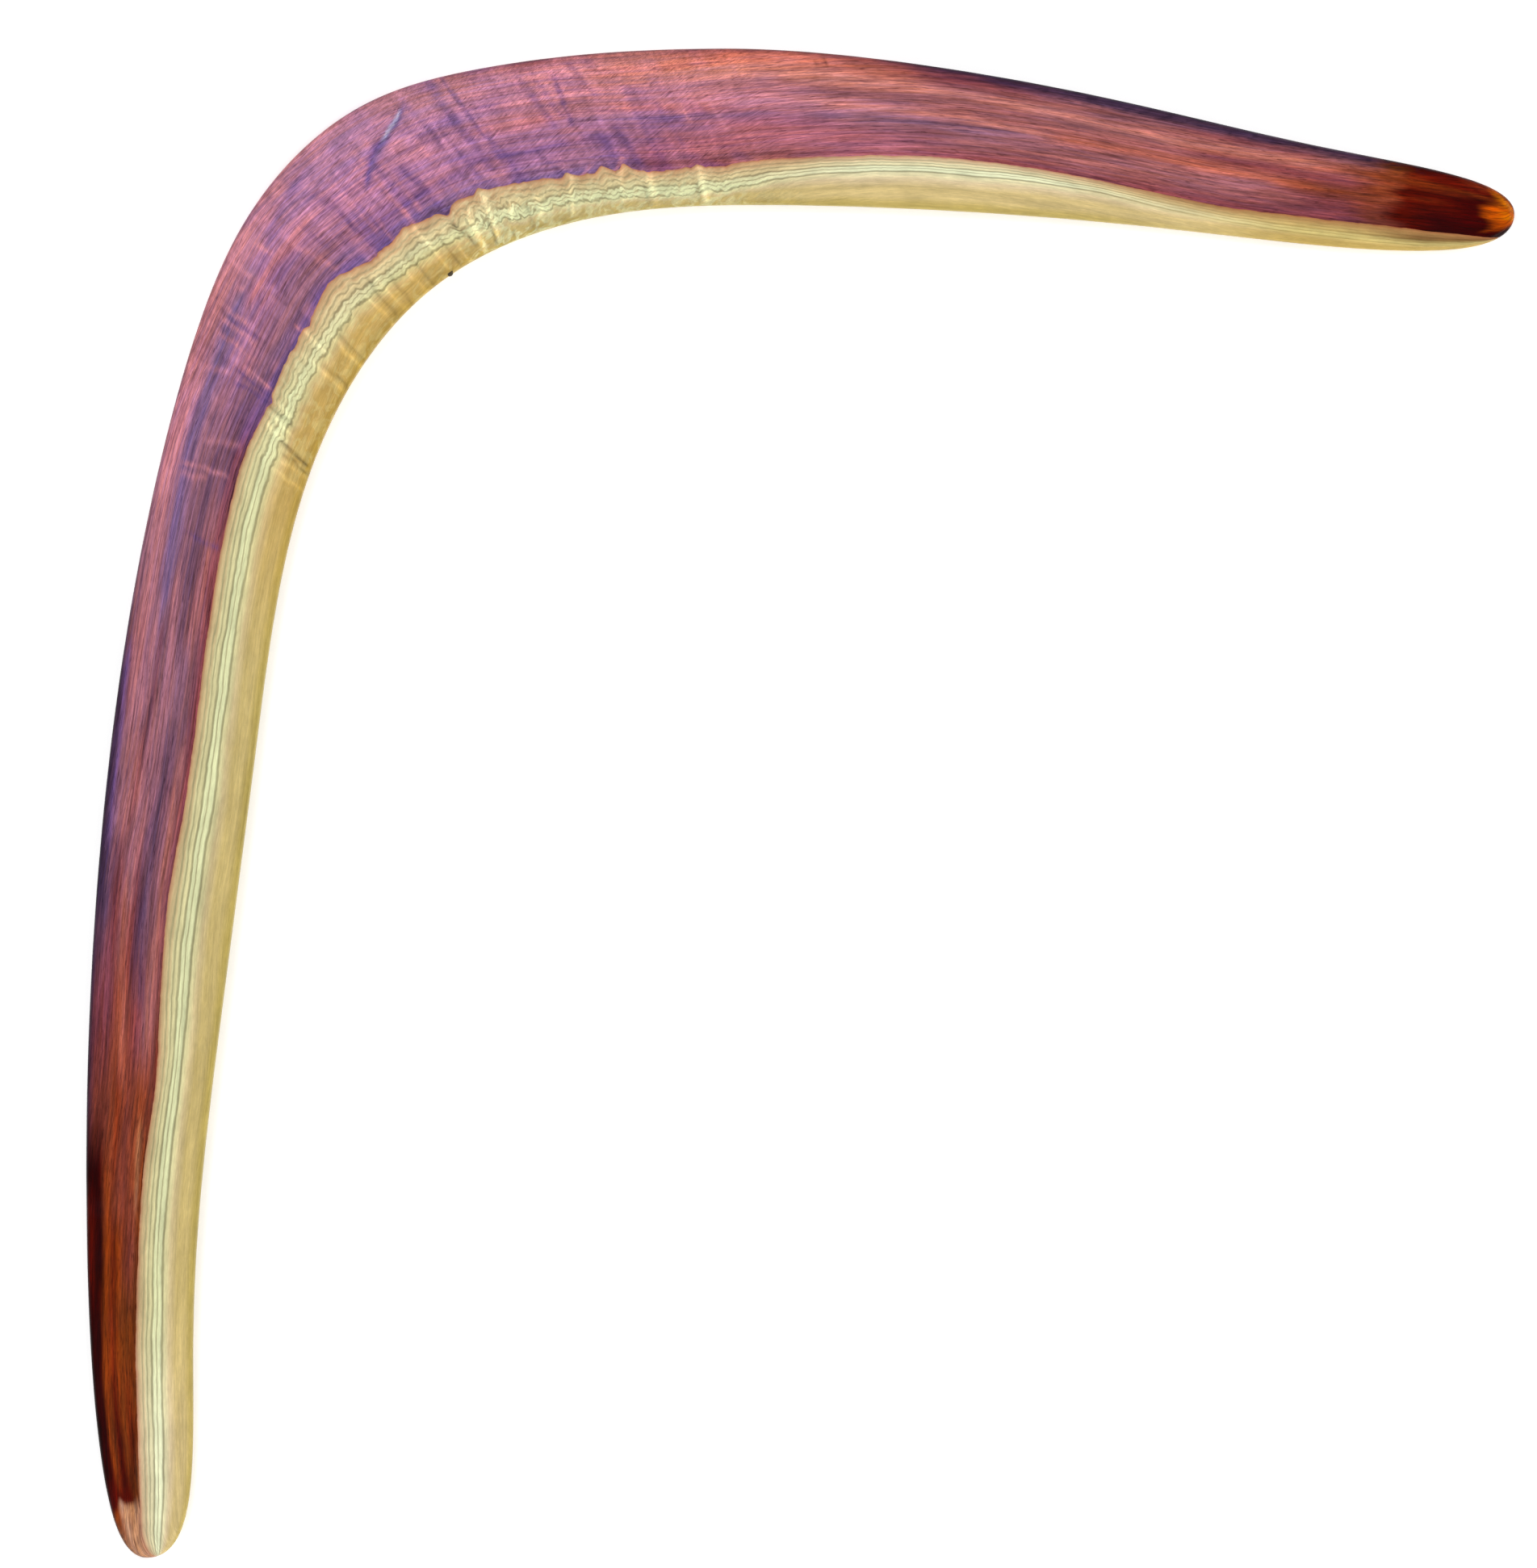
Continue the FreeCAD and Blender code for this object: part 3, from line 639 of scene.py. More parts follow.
def paint_heartwood(along, share, width, underside):
    """Colour of the heartwood before its fibres, pores and fine lines, with painted shade along the rounded
    outer edge.
    """
    drift = DRIFT + UNDERSIDE_DRIFT * underside
    wave = 0.012 * noise(along / 38.0, share * 5.0, 1 + underside)
    wave = wave + 0.006 * noise(along / 9.0, share * 16.0, 2)
    bent_share = share + wave + 0.05 * underside * noise(along / 60.0, 2.0, 9)
    bent_along = along + drift * noise(along / 12.0, share * 14.0, 3)
    colour = station_colour(bent_along, bent_share, HEART_STATIONS)
    for name, strength, half_width, text in HEART_STREAKS:
        path = [(float(place), float(across)) for place, across in pairs_of(text)]
        weight = strength * streak_weight(along, bent_share, width, half_width, path)
        colour = towards(colour, COLOUR[name], weight)
    strokes = noise(along / 22.0, bent_share * width / 1.3, 14)
    colour = colour * (1 + STROKE_DEPTH * strokes)[:, None]
    curl = curl_at(along)
    patch = smoothstep(noise(along / 7.0, share * width / 6.0 + along / 14.0, 15) * 1.6 - 0.2)
    colour = towards(colour, COLOUR["violet"], PATCH_STRENGTH * patch * curl)
    # patches of painted pink sheen in the curly bend
    painted_sheen = smoothstep(noise(along / 6.0, share * width / 5.0, 16) * 1.7 - 0.3)
    colour = towards(colour, COLOUR["blossom"], PAINTED_SHEEN_STRENGTH * painted_sheen * curl)
    shade = crinkle_shade(along, share)
    rate, limit = DARK_MARKS
    colour = towards(colour, COLOUR["violet"] * 0.8, np.clip(-rate * shade, 0, limit))
    rate, limit = LIGHT_MARKS
    colour = towards(colour, COLOUR["blossom"], np.clip(rate * shade, 0, limit))
    top = 1 - underside
    stain = 1.0 + 1.2 * np.exp(-((along - STAIN_PLACE) / 4.0) ** 2)
    stain_weight = STAIN_STRENGTH * top * check_weight(along, share + 0.006, stain)
    colour = towards(colour, CHECK_STAIN, stain_weight)
    sliver_weight = SLIVER_STRENGTH * top * stretch(along, *SLIVER)
    sliver_weight = sliver_weight * check_weight(along, share - 0.004, 0.45)
    colour = towards(colour, CHECK_SLIVER, sliver_weight)
    knots = KNOT_STRENGTH * top * knot_weight(along, share, width)
    colour = towards(colour, COLOUR["soot"], knots)
    speckle = smoothstep(noise(along / 1.6, share * width / 0.6, 18) * 1.5)
    scorch = stretch(along, *SCORCH) * smoothstep((share - SCORCH_START) / SCORCH_FADE) * top
    colour = towards(colour, COLOUR["ink"] * 0.6, SCORCH_STRENGTH * speckle * scorch)
    # painted shade darkens the rounded outer edge, half as much in the curly bend
    rim_shade = np.exp(-((1 - share) * width / SHADED_RIM_WIDTH) ** 2) * (1 - 0.5 * curl)
    return BRIGHTNESS * colour * (1 - RIM_PAINTED_SHADE * rim_shade)[:, None]


# Light and dark strokes across the sapwood in the bend: as CRINKLES.
SAP_MARKS = [
    (305.5, 0, 305, 0.22, 0.7, 0.12), (309, 0, 308.5, 0.2, 0.7, 0.1),
    (310.6, 0, 310.4, 0.2, 0.5, -0.14), (312.6, 0.02, 313, 0.24, 0.7, -0.2),
    (314, 0.2, 314.4, 0.36, 1, 0.16), (317, 0.18, 317.4, 0.34, 0.8, 0.16),
    (318.8, 0.2, 319.2, 0.38, 0.6, -0.14), (320.6, 0.22, 321, 0.34, 0.9, 0.14),
    (337, 0.02, 336.6, 0.32, 0.8, 0.12), (339, 0, 338.8, 0.18, 0.6, -0.1),
    (341.4, 0.2, 341.8, 0.38, 0.6, 0.18), (346, 0, 346.4, 0.22, 0.8, 0.14),
    (348.4, 0, 348, 0.2, 0.6, -0.1), (362, 0, 361.6, 0.24, 0.6, 0.12),
    (364.4, 0.02, 364.8, 0.26, 0.7, -0.12), (367.4, 0, 367, 0.24, 0.7, 0.12),
    (370, 0, 370.4, 0.22, 0.6, -0.1), (375.4, 0, 375, 0.2, 0.6, 0.1), (378.4, 0, 378, 0.22, 0.6, -0.1),
    (384.6, 0.04, 384.4, 0.3, 0.7, 0.16), (388.4, 0, 388, 0.2, 0.6, -0.1),
    (391, 0, 390.6, 0.22, 0.6, 0.1), (396.5, 0.02, 399.5, 0.24, 1.1, 0.22),
    (395.4, 0.05, 393.5, 0.22, 0.7, -0.18), (402, 0.04, 405.5, 0.28, 1, 0.22),
    (400.6, 0.02, 403, 0.18, 0.6, -0.18), (407, 0.06, 411, 0.2, 1, 0.18),
    (406, 0.02, 409, 0.14, 0.6, -0.14), (412.6, 0.02, 414.5, 0.16, 0.7, -0.12),
    (416, 0.04, 418.5, 0.2, 0.9, 0.1), (425, 0.04, 430.5, 0.27, 0.9, 0.14),
    (423.8, 0.04, 426, 0.12, 0.6, -0.1), (440, 0.06, 445.5, 0.28, 0.9, 0.12),
    (438.8, 0.02, 441, 0.12, 0.6, -0.1), (449, 0.02, 452, 0.24, 1.1, 0.2),
    (447.4, 0.02, 449, 0.16, 0.6, -0.12), (463.6, 0.03, 466.4, 0.24, 1.1, 0.2),
    (461.8, 0.02, 463.6, 0.14, 0.6, -0.12),
]
# How strongly the growth lines of the sapwood zigzag: along, amount.
KINKS = [(0, 0.0), (300, 0.05), (314, 0.5), (345, 0.4), (390, 0.5), (397, 1.3), (412, 1.3),
         (418, 0.7), (466, 0.7), (482, 0.15), (500, 0.0), (700, 0.0)]


# Tints of the sapwood: factors on red, green and blue, and strength; along the blade the start, fade,
# end and fade; across the sapwood the start and fade, where a fade below 0 runs to the inner edge.
ALL_ACROSS = (-1.0, 0.5)
SAP_TINTS = [
    ((1.14, 1.14, 1.30), 1.0, (-99, 1, 75, 50), ALL_ACROSS),        # pale lower end
    ((1.14, 1.14, 1.30), 1.0, (470, 40, 799, 1), ALL_ACROSS),       # pale upper arm
    ((0.99, 0.84, 0.62), 1.0, (240, 80, 405, 20), (0.75, -0.5)),    # golden painted shade where the inner edge of the bend rolls off
    ((1.05, 0.96, 0.74), 1.0, (600, 40, 799, 1), ALL_ACROSS),       # blonde towards the upper tip
    ((0.20, 0.05, 0.01), 0.97, (646, 26, 799, 1), (0.22, 0.5)),     # toffee at the upper tip
    ((1.03, 0.86, 0.86), 1.0, (320, 40, 520, 40), (0.4, 0.5)),      # by the heartwood in the bend
    ((0.86, 0.66, 0.54), 0.8, (550, 60, 799, 1), (0.45, 0.5)),      # by it on the upper arm
]
SAP_MARK_DEPTH = 2.4            # how much the strokes across the sapwood are strengthened
MOTTLE_DEPTH = 0.06
THINNEST = 0.02                 # the sapwood's share of the blade is taken as at least this


def inside_share(share, ring):
    """Place across the sapwood: 0 at the inner edge and 1 at the heartwood."""
    return share / np.maximum(ring, THINNEST)


def paint_sapwood(along, share, ring, width):
    """A tint over the sapwood's growth lines: golden painted shade on the inner edge of the bend, darker at
    the upper tip.
    """
    inside = inside_share(share, ring)
    colour = np.ones((len(along), 3))
    for factors, strength, place, (start, fade) in SAP_TINTS:
        weight = strength * stretch(along, *place) * smoothstep((inside - start) / fade)
        colour = towards(colour, np.array(factors), weight)
    for *stroke, shade in SAP_MARKS:
        weight = crossing_weight(along, share, *stroke)
        colour = colour * (1 + SAP_MARK_DEPTH * shade * weight)[:, None]
    mottle = noise(along / 9.0, share * width / 2.0, 21)
    return colour * (1 + MOTTLE_DEPTH * mottle)[:, None]


# ---- the two woods ----

WALL_STEPS = 3                  # points between underside and top on the wall between the woods
TOP_COLUMNS = {"heartwood": 44, "sapwood": 28}
BOTTOM_COLUMNS = 8


def wall(bottom, top):
    """Values in even steps from the underside to the top of the wall between the woods."""
    steps = np.linspace(0.0, 1.0, WALL_STEPS + 2)[None, 1:-1]
    return bottom[:, None] + (top - bottom)[:, None] * steps


def with_relief(shares, heights):
    """Top heights with the surface's small relief, which fades out at both edges."""
    width = width_rows[:, None]
    edge = np.minimum(shares, 1 - shares) * width
    along = np.broadcast_to(along_rows[:, None], shares.shape)
    return heights + surface_relief(along, shares) * smoothstep((edge - 0.8) / 2.5)


def edge_column(value):
    return np.full((len(along_rows), 1), value)


everywhere = np.arange(len(along_rows))
ones = np.ones(len(along_rows))
zeros = np.zeros(len(along_rows))



def heart_columns(ring, radius, count):
    """Shares of the heartwood's columns, from the ring to the outer edge."""
    between = columns_between(ring, ones, radius, count, True, True)
    return np.concatenate([ring[:, None], between], 1)


def sap_columns(ring, radius, count):
    """Shares of the sapwood's columns, from the inner edge to the ring."""
    between = columns_between(zeros, ring, radius, count, True, False)
    return np.concatenate([between, ring[:, None]], 1)


heart_top = heart_columns(ring_top, TOP_ROUNDING, TOP_COLUMNS["heartwood"])
heart_top_heights = with_relief(heart_top, measured(heart_top, False))
heart_bottom = heart_columns(ring_bottom, BOTTOM_ROUNDING, BOTTOM_COLUMNS)
heart_bottom_heights = measured(heart_bottom, True)

sap_top = sap_columns(ring_top, TOP_ROUNDING, TOP_COLUMNS["sapwood"])
sap_top_heights = with_relief(sap_top, measured(sap_top, False))
sap_top_heights[:, -1] = heart_top_heights[:, 0]
sap_bottom = sap_columns(ring_bottom, BOTTOM_ROUNDING, BOTTOM_COLUMNS)
sap_bottom_heights = measured(sap_bottom, True)
sap_bottom_heights[:, -1] = heart_bottom_heights[:, 0]

wall_share = wall(ring_bottom, ring_top)
wall_height = wall(heart_bottom_heights[:, 0], heart_top_heights[:, 0])

# Seen from the lower tip, each loop goes over the top, round the edge and back underneath.
heart_loop = np.concatenate([heart_top, edge_column(1.0), heart_bottom[:, ::-1], wall_share], 1)
heart_heights = np.concatenate([heart_top_heights, edge_column(SIDE_HEIGHT),
                                heart_bottom_heights[:, ::-1], wall_height], 1)
sap_loop = np.concatenate([sap_top[:, ::-1], edge_column(0.0), sap_bottom, wall_share], 1)
sap_heights = np.concatenate([sap_top_heights[:, ::-1], edge_column(SIDE_HEIGHT),
                              sap_bottom_heights, wall_height], 1)


def loop_fields(rows, loop, heights):
    """Along, share, width of the blade and height at every point of a piece."""
    size = loop.shape[1]
    along = np.repeat(along_rows[rows], size)
    width = np.repeat(width_rows[rows], size)
    return along, loop[rows].ravel(), width, heights[rows].ravel()


# In the bend the fibres slant outwards on their way to the upper tip: along, millimetres gained.
FIBRE_LEAN = [(335, 0.0), (375, 5.0), (400, 13.0), (425, 27.0), (450, 42.0), (475, 56.0),
              (492, 62.0), (515, 64.0)]


def layer_field(along, share, width, height_mm, ring):
    """Coordinates that follow the growth layers: along, across and through, in millimetres."""
    return np.stack([along, (share - ring) * width, height_mm], axis=-1)


def grain_field(along, share, width, height_mm, ring):
    """The same, but following the fibres where they slant across the layers."""
    across = (share - ring) * width - read_off(FIBRE_LEAN, along)
    return np.stack([along, across, height_mm], axis=-1)


# Where the main growth line of the sapwood runs, as a share of the sapwood's width.
MAIN_LINE = [(0, 0.53), (300, 0.55), (345, 0.55), (455, 0.25), (472, 0.35), (486, 0.55),
             (500, 0.63), (520, 0.68), (560, 0.69), (580, 0.71), (600, 0.56), (615, 0.46),
             (630, 0.38), (645, 0.33), (665, 0.25), (700, 0.2)]
MAIN_RING = 0.53                # the fixed value of the main growth line
PLAIN_START = 565               # beyond here the growth lines of the sapwood fade
PLAIN_FADE = 50
SAPWOOD_MARGIN = 0.3            # the sapwood's last row stays this far inside its end


def ring_field(along, share, ring):
    """A coordinate across the sapwood, 0 at the inner edge and 1 at the heartwood, on which each
    growth line has its own fixed value."""
    inside = inside_share(share, ring)
    line = read_off(MAIN_LINE, along)
    below = MAIN_RING * inside / line
    above = MAIN_RING + (1 - MAIN_RING) * (inside - line) / (1 - line)
    return np.where(inside < line, below, above)


def make_heartwood():
    """The heartwood with all that its material reads."""
    piece = grid_piece("heartwood_figured", everywhere, heart_loop, heart_heights, "root")
    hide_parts("heartwood")
    size = heart_loop.shape[1]
    mark_sharp(piece, size, [0, size - WALL_STEPS - 1])
    along, share, width, level = loop_fields(everywhere, heart_loop, heart_heights)
    ring = np.repeat(ring_smooth, size)
    underside = np.tile(np.arange(size) >= heart_top.shape[1], len(everywhere)).astype(float)
    set_vector(piece.data, "grain", grain_field(along, share, width, level, ring))
    set_vector(piece.data, "layers", layer_field(along, share, width, level, ring))
    set_colour(piece.data, "paint", paint_heartwood(along, share, width, underside))
    set_float(piece.data, "curl", curl_at(along))
    return piece


def make_sapwood():
    """The sapwood with all that its material reads."""
    rows = everywhere[along_rows < SAPWOOD_END - SAPWOOD_MARGIN]
    loop = sap_loop[:, ::-1]
    heights = sap_heights[:, ::-1]
    piece = grid_piece("sapwood_figured", rows, loop[rows], heights[rows], "root")
    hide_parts("sapwood")
    size = loop.shape[1]
    mark_sharp(piece, size, [size - 1, WALL_STEPS])
    along, share, width, level = loop_fields(rows, loop, heights)
    underside = np.tile(np.arange(size) < size - sap_top.shape[1], len(rows))
    ring = np.repeat(ring_smooth[rows], size)
    exact_ring = np.where(underside, np.repeat(ring_bottom[rows], size),
                          np.repeat(ring_top[rows], size))
    nearness = np.clip(inside_share(share, ring), 0.0, 1.0)
    set_vector(piece.data, "grain", grain_field(along, share, width, level, ring))
    set_colour(piece.data, "paint", paint_sapwood(along, share, ring, width))
    lines = ring_field(along, share, ring + (exact_ring - ring) * nearness)
    set_float(piece.data, "ring", lines)
    set_float(piece.data, "near", np.maximum(exact_ring - share, 0.0) * width)
    set_float(piece.data, "plain", smoothstep((along - PLAIN_START) / PLAIN_FADE))
    set_float(piece.data, "kink", read_off(KINKS, along))
    return piece


heart = make_heartwood()
sap = make_sapwood()


# ---- materials ----

class Shader:
    """A small helper that adds nodes to one material and links them."""

    def __init__(self, name):
        self.material = bpy.data.materials.new(name)
        self.material.use_nodes = True
        self.tree = self.material.node_tree
        self.principled = self.tree.nodes["Principled BSDF"]

    def plug(self, value, socket):
        if isinstance(value, bpy.types.NodeSocket):
            self.tree.links.new(value, socket)
        elif value is not None:
            socket.default_value = value

    def attribute(self, name, output="Fac"):
        node = self.tree.nodes.new("ShaderNodeAttribute")
        node.attribute_name = name
        return node.outputs[output]

    def maths(self, operation, first, second=None):
        node = self.tree.nodes.new("ShaderNodeMath")
        node.operation = operation
        self.plug(first, node.inputs[0])
        self.plug(second, node.inputs[1])
        return node.outputs[0]

    def stretched(self, vector, scale, shift=(0.0, 0.0, 0.0)):
        node = self.tree.nodes.new("ShaderNodeVectorMath")
        node.operation = "MULTIPLY_ADD"
        self.plug(vector, node.inputs[0])
        node.inputs[1].default_value = scale
        node.inputs[2].default_value = shift
        return node.outputs[0]

    def noise(self, vector, detail=2.0, roughness=0.5, distortion=0.0):
        node = self.tree.nodes.new("ShaderNodeTexNoise")
        self.plug(vector, node.inputs["Vector"])
        node.inputs["Scale"].default_value = 1.0
        node.inputs["Detail"].default_value = detail
        node.inputs["Roughness"].default_value = roughness
        node.inputs["Distortion"].default_value = distortion
        return node.outputs["Fac"]

    def fibres(self, vector, along, across, shift=(0.0, 0.0, 0.0), detail=3.0, roughness=0.6,
               distortion=0.0):
        """Noise drawn out along the grain, with its features per millimetre along and across."""
        place = self.stretched(vector, (along, across, across), shift)
        return self.noise(place, detail, roughness, distortion)

    def remap(self, value, low, high, new_low, new_high):
        node = self.tree.nodes.new("ShaderNodeMapRange")
        self.plug(value, node.inputs["Value"])
        node.inputs["From Min"].default_value = low
        node.inputs["From Max"].default_value = high
        self.plug(new_low, node.inputs["To Min"])
        self.plug(new_high, node.inputs["To Max"])
        return node.outputs["Result"]

    def mix(self, factor, first, second, blend="MIX"):
        node = self.tree.nodes.new("ShaderNodeMix")
        node.data_type = "RGBA"
        node.blend_type = blend
        self.plug(factor, node.inputs[0])
        sockets = [s for s in node.inputs if s.type == "RGBA"]
        self.plug(first, sockets[0])
        self.plug(second, sockets[1])
        return [s for s in node.outputs if s.type == "RGBA"][0]

    def grey(self, value):
        """A value as a colour, for mixing."""
        node = self.tree.nodes.new("ShaderNodeCombineColor")
        for socket in node.inputs[:3]:
            self.plug(value, socket)
        return node.outputs["Color"]

    def ramp(self, value, stops):
        node = self.tree.nodes.new("ShaderNodeValToRGB")
        self.plug(value, node.inputs["Fac"])
        elements = node.color_ramp.elements
        while len(elements) < len(stops):
            elements.new(0.5)
        for element, (place, colour) in zip(elements, stops):
            element.position = place
            element.color = (*COLOUR[colour], 1.0)
        return node.outputs["Color"]

    def bump(self, height, strength, distance):
        node = self.tree.nodes.new("ShaderNodeBump")
        node.inputs["Strength"].default_value = strength
        node.inputs["Distance"].default_value = distance
        self.plug(height, node.inputs["Height"])
        return node.outputs["Normal"]

    def preset(self, values):
        """Plain values on the shader's own sockets."""
        for name, value in values.items():
            self.principled.inputs[name].default_value = value

    def finish(self, colour, roughness, normal):
        self.plug(colour, self.principled.inputs["Base Color"])
        self.plug(roughness, self.principled.inputs["Roughness"])
        self.plug(normal, self.principled.inputs["Normal"])


NOISE_RANGE = (0.35, 0.65)      # most values of a noise texture lie in this range


def modulated(shader, colour, value, depth):
    """The colour made darker and lighter by a noise value, by up to the given depth."""
    grey = shader.grey(shader.remap(value, *NOISE_RANGE, 1.0 - depth, 1.0 + depth))
    return shader.mix(1.0, colour, grey, "MULTIPLY")


def curled(shader, colour, value, curl, depth):
    """The same, but only as far as the grain is curly."""
    amount = shader.maths("MULTIPLY", curl, depth)
    low = shader.maths("SUBTRACT", 1.0, amount)
    high = shader.maths("ADD", 1.0, amount)
    grey = shader.grey(shader.remap(value, *NOISE_RANGE, low, high))
    return shader.mix(1.0, colour, grey, "MULTIPLY")


# A thin coat of oil, rubbed down to a soft gloss.
OIL = {"Specular IOR Level": 0.08, "Coat Weight": 0.04, "Coat Roughness": 0.2}
PORE_DEPTH = 0.0001             # in metres, of the fibres and pores in the shading
# Factors on the colour: where the hue runs cool and warm, in the veins, and in the pores.
COOL = (0.88, 0.92, 1.08, 1.0)
WARM = (1.14, 1.03, 0.90, 1.0)
VEIN = (0.42, 0.34, 0.44, 1.0)
PORE = (0.25, 0.20, 0.24, 1.0)


def heartwood_material():
    shader = Shader("oiled_heartwood")
    grain = shader.attribute("grain", "Vector")
    layer = shader.attribute("layers", "Vector")
    colour = shader.attribute("paint", "Color")
    curl = shader.attribute("curl")
    streaks = shader.fibres(layer, 0.012, 0.45, detail=4.0)
    fine = shader.fibres(grain, 0.10, 2.4, (7.0, 3.0, 5.0))
    hair = shader.fibres(grain, 0.45, 5.5, (1.0, 9.0, 2.0), 2.0)
    hue = shader.fibres(layer, 0.05, 1.1, (2.0, 6.0, 1.0))
    short = shader.fibres(grain, 0.34, 2.4, (4.0, 1.0, 6.0), 2.0)
    figure = shader.fibres(layer, 0.40, 0.09, (3.0, 0.0, 0.0))
    layers = shader.fibres(layer, 0.016, 0.85, (0.0, 2.0, 3.0), 2.0, 0.5)
    ridge = shader.maths("ABSOLUTE", shader.maths("SUBTRACT", layers, 0.5))
    vein = shader.remap(ridge, 0.0, 0.05, 0.55, 0.0)
    line = shader.fibres(layer, 0.030, 1.7, (9.0, 2.0, 4.0), roughness=0.65)
    pores = shader.fibres(grain, 0.26, 3.2, (0.0, 4.0, 8.0), 1.0, 0.5)
    pore = shader.remap(pores, 0.62, 0.70, 0.0, 0.55)
    warmth = shader.mix(shader.remap(hue, 0.36, 0.64, 0.0, 1.0), COOL, WARM)
    colour = shader.mix(1.0, colour, warmth, "MULTIPLY")
    colour = modulated(shader, colour, streaks, 0.16)
    straight = shader.maths("SUBTRACT", 1.0, shader.maths("MULTIPLY", curl, 0.55))
    colour = curled(shader, colour, line, straight, 0.24)
    colour = shader.mix(vein, colour, VEIN, "MULTIPLY")
    colour = modulated(shader, colour, fine, 0.22)
    colour = modulated(shader, colour, hair, 0.16)
    colour = curled(shader, colour, short, curl, 0.12)
    colour = curled(shader, colour, figure, curl, 0.16)
    colour = shader.mix(pore, colour, PORE, "MULTIPLY")
    relief = shader.maths("ADD", shader.maths("MULTIPLY", fine, 0.6),
                          shader.maths("MULTIPLY", hair, 0.3))
    relief = shader.maths("SUBTRACT", relief, pore)
    shader.finish(colour, shader.remap(fine, 0.3, 0.7, 0.38, 0.28),
                  shader.bump(relief, 0.3, PORE_DEPTH))
    shader.preset(OIL)
    return shader.material


# Colours across the sapwood, from the inner edge to the heartwood. The dips are growth lines. The darker
# olive and moss at the inner edge are painted shade where that edge rolls off.
SAPWOOD_RAMP = [
    (0.00, "olive"), (0.07, "moss"), (0.16, "straw"), (0.30, "straw"), (0.42, "wheat"),
    (0.50, "cream"), (0.515, "cream"), (0.532, "grey"), (0.55, "grey"), (0.575, "lime"),
    (0.62, "lime"), (0.637, "rush"), (0.654, "lime"), (0.69, "lime"), (0.706, "grey"),
    (0.722, "grey"), (0.745, "cream"), (0.78, "cream"), (0.80, "rush"), (0.825, "cream"),
    (0.86, "wheat"), (0.885, "rush"), (0.91, "wheat"), (0.95, "wheat"), (1.00, "peach"),
]
WOBBLE = 0.018                  # how far the growth lines stray on the arms
KINK = 0.30                     # and how far where they zigzag in the bend


def sapwood_material():
    shader = Shader("oiled_sapwood")
    grain = shader.attribute("grain", "Vector")
    tint = shader.attribute("paint", "Color")
    ring = shader.attribute("ring")
    fine = shader.fibres(grain, 0.085, 2.1, (7.0, 3.0, 5.0))
    hair = shader.fibres(grain, 0.40, 5.5, (1.0, 9.0, 2.0), 2.0)
    streaks = shader.fibres(grain, 0.012, 0.55, detail=4.0)
    cloud = shader.fibres(grain, 0.16, 0.30)
    stray = shader.fibres(grain, 0.045, 0.10, roughness=0.55)
    stray = shader.remap(stray, *NOISE_RANGE, -WOBBLE, WOBBLE)
    zigzag = shader.fibres(grain, 0.30, 0.12, (5.0, 0.0, 0.0), 2.0, 0.55)
    kink = shader.attribute("kink")
    kinked = shader.maths("MINIMUM", kink, 1.0)
    zigzag = shader.maths("MULTIPLY", shader.remap(zigzag, *NOISE_RANGE, -KINK, KINK), kink)
    inside = shader.maths("MULTIPLY", ring, shader.maths("SUBTRACT", 1.0, ring))
    place = shader.maths("ADD", ring, stray)
    place = shader.maths("ADD", place, shader.maths("MULTIPLY", zigzag, inside))
    colour = shader.ramp(place, SAPWOOD_RAMP)
    feather = shader.fibres(grain, 0.24, 0.42, (3.0, 1.0, 0.0), distortion=0.8)
    feather = shader.maths("MULTIPLY", shader.remap(feather, 0.47, 0.60, 0.0, 0.62), kinked)
    colour = shader.mix(feather, colour, (*COLOUR["lime"], 1.0))
    dip = shader.fibres(grain, 0.30, 0.60, (8.0, 6.0, 0.0), 2.0, distortion=0.8)
    dip = shader.maths("MULTIPLY", shader.remap(dip, 0.53, 0.62, 0.0, 0.45), kinked)
    colour = shader.mix(dip, colour, (*COLOUR["sand"], 1.0))
    plain = shader.maths("MULTIPLY", shader.attribute("plain"), 0.6)
    colour = shader.mix(plain, colour, (*COLOUR["straw"], 1.0))
    fringe = shader.maths("EXPONENT", shader.maths("MULTIPLY", shader.attribute("near"), -1.35))
    fringe = shader.maths("MULTIPLY", fringe, shader.remap(fine, 0.3, 0.7, 0.6, 1.0))
    colour = shader.mix(fringe, colour, (*COLOUR["bark_brown"], 1.0))
    colour = shader.mix(1.0, colour, tint, "MULTIPLY")
    for value, depth in ((streaks, 0.10), (cloud, 0.06), (fine, 0.09), (hair, 0.08)):
        colour = modulated(shader, colour, value, depth)
    relief = shader.maths("ADD", shader.maths("MULTIPLY", fine, 0.5),
                          shader.maths("MULTIPLY", hair, 0.3))
    shader.finish(colour, shader.remap(fine, 0.3, 0.7, 0.40, 0.32),
                  shader.bump(relief, 0.25, PORE_DEPTH))
    shader.preset(OIL)
    return shader.material


DARK_BARK = (0.020, 0.014, 0.006, 1.0)
PALE_BARK = (0.085, 0.055, 0.018, 1.0)
BARK_DEPTH = 0.0002             # in metres, of its lumps in the shading


def bark_material():
    shader = Shader("bark")
    place = shader.tree.nodes.new("ShaderNodeTexCoord").outputs["Object"]
    lumps = shader.noise(shader.stretched(place, (2600.0, 2600.0, 1400.0)), 3.0, 0.6)
    colour = shader.mix(shader.remap(lumps, *NOISE_RANGE, 0.0, 1.0), DARK_BARK, PALE_BARK)
    shader.finish(colour, 0.7, shader.bump(lumps, 0.6, BARK_DEPTH))
    return shader.material


heart.data.materials.append(heartwood_material())
sap.data.materials.append(sapwood_material())
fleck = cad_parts["bark_fleck"]
fleck.data.materials.clear()
fleck.data.materials.append(bark_material())


# ---- floor, light and camera ----

WHITE = (1.0, 1.0, 1.0, 1.0)
FLOOR_SIZE = 6.0
FLOOR_LEVEL = -0.0001           # just clear of the underside, so that the two faces don't coincide

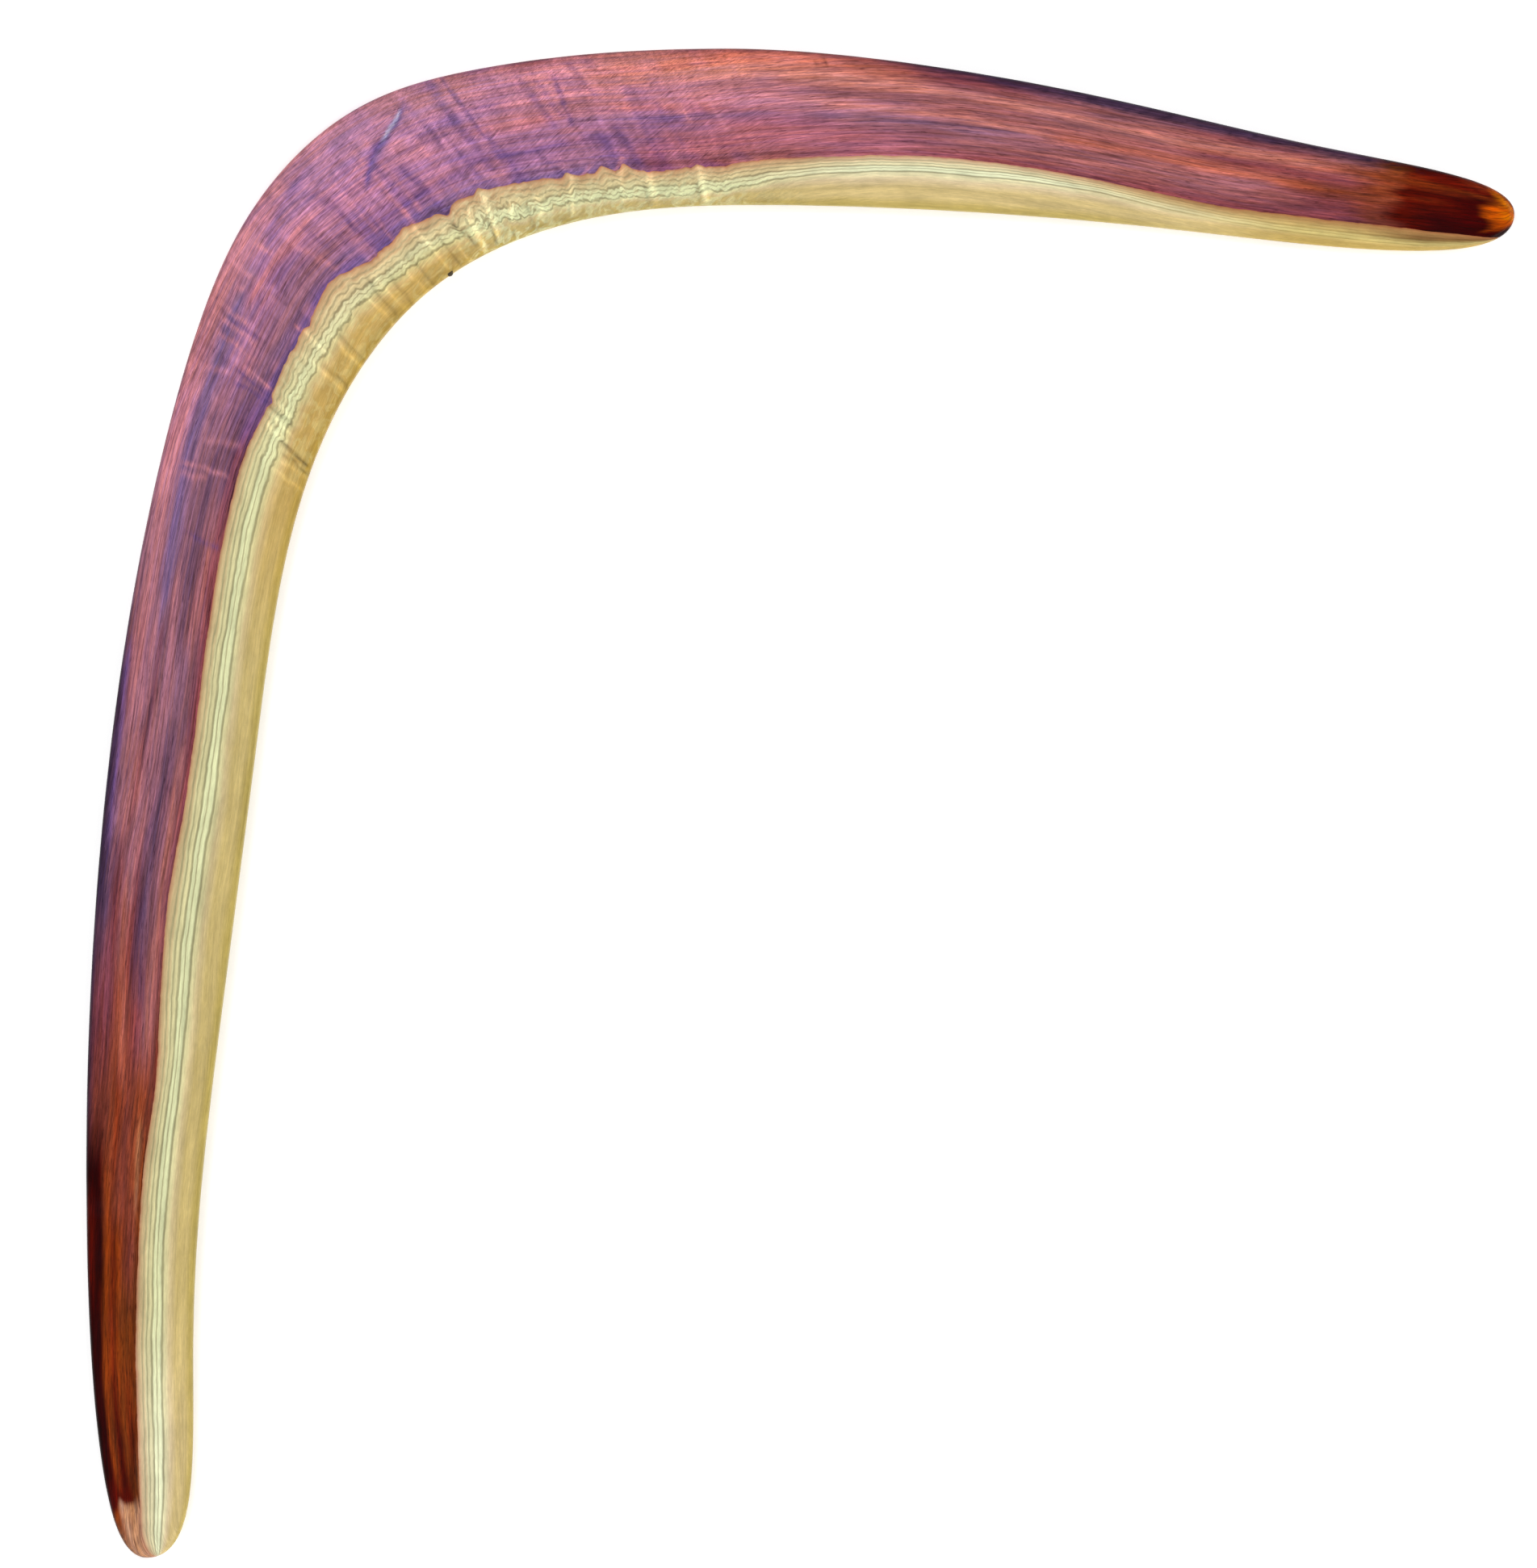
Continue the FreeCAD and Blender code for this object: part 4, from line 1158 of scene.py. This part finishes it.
floor_mesh = bpy.data.meshes.new("floor")
half = FLOOR_SIZE / 2
floor_corners = [(-half, -half), (half, -half), (half, half), (-half, half)]
floor_mesh.from_pydata([(x, y, FLOOR_LEVEL) for x, y in floor_corners], [], [(0, 1, 2, 3)])
floor = bpy.data.objects.new("floor", floor_mesh)
bpy.context.scene.collection.objects.link(floor)
floor_shader = Shader("white_floor")
floor_shader.preset({"Base Color": (0.93, 0.93, 0.93, 1.0), "Roughness": 0.9,
                     "Specular IOR Level": 0.1, "Emission Color": WHITE,
                     "Emission Strength": 0.38})
floor_mesh.materials.append(floor_shader.material)

LIGHT_DISTANCE = 2.2
LIGHT_SIZE = 1.6
LIGHTS = [                      # name, azimuth, elevation (degrees), watts
    ("key_light", 125.0, 34.0, 26.0),
    ("fill_light", 235.0, 30.0, 20.0),
    ("side_light", 20.0, 30.0, 20.0),
    ("back_light", 310.0, 30.0, 18.0),
]


def add_light(name, azimuth, elevation, watts):
    data = bpy.data.lights.new(name, "AREA")
    data.energy = watts
    data.shape = "DISK"
    data.size = LIGHT_SIZE
    light = bpy.data.objects.new(name, data)
    level = math.cos(math.radians(elevation))
    away = Vector((level * math.cos(math.radians(azimuth)),
                   level * math.sin(math.radians(azimuth)), math.sin(math.radians(elevation))))
    light.location = LIGHT_DISTANCE * away
    light.rotation_euler = away.to_track_quat("Z", "Y").to_euler()
    bpy.context.scene.collection.objects.link(light)


for light_row in LIGHTS:
    add_light(*light_row)

AMBIENT_LIGHT = 0.20
BACKDROP = 1.0                  # how bright the studio looks behind the floor

world = bpy.data.worlds.new("studio")
world.use_nodes = True
background = world.node_tree.nodes["Background"]
background.inputs["Color"].default_value = WHITE
ray = world.node_tree.nodes.new("ShaderNodeLightPath")
strength = world.node_tree.nodes.new("ShaderNodeMapRange")
strength.inputs["To Min"].default_value = AMBIENT_LIGHT
strength.inputs["To Max"].default_value = BACKDROP
world.node_tree.links.new(ray.outputs["Is Camera Ray"], strength.inputs["Value"])
world.node_tree.links.new(strength.outputs["Result"], background.inputs["Strength"])
bpy.context.scene.world = world

SENSOR = 36.0
CAMERA_HEIGHT = 2.0
VIEW_WIDTH = 0.4189             # width of the picture at the level of the blade
VIEW_CENTRE = (-0.00869, 0.00528)
BLADE_LEVEL = 0.006             # height in the blade at which that width counts

camera_data = bpy.data.cameras.new("camera")
camera_data.sensor_fit = "HORIZONTAL"
camera_data.sensor_width = SENSOR
camera_data.lens = SENSOR * (CAMERA_HEIGHT - BLADE_LEVEL) / VIEW_WIDTH
camera = bpy.data.objects.new("camera", camera_data)
camera.location = (*VIEW_CENTRE, CAMERA_HEIGHT)
bpy.context.scene.collection.objects.link(camera)
bpy.context.scene.camera = camera
bpy.context.scene.view_settings.view_transform = "Standard"
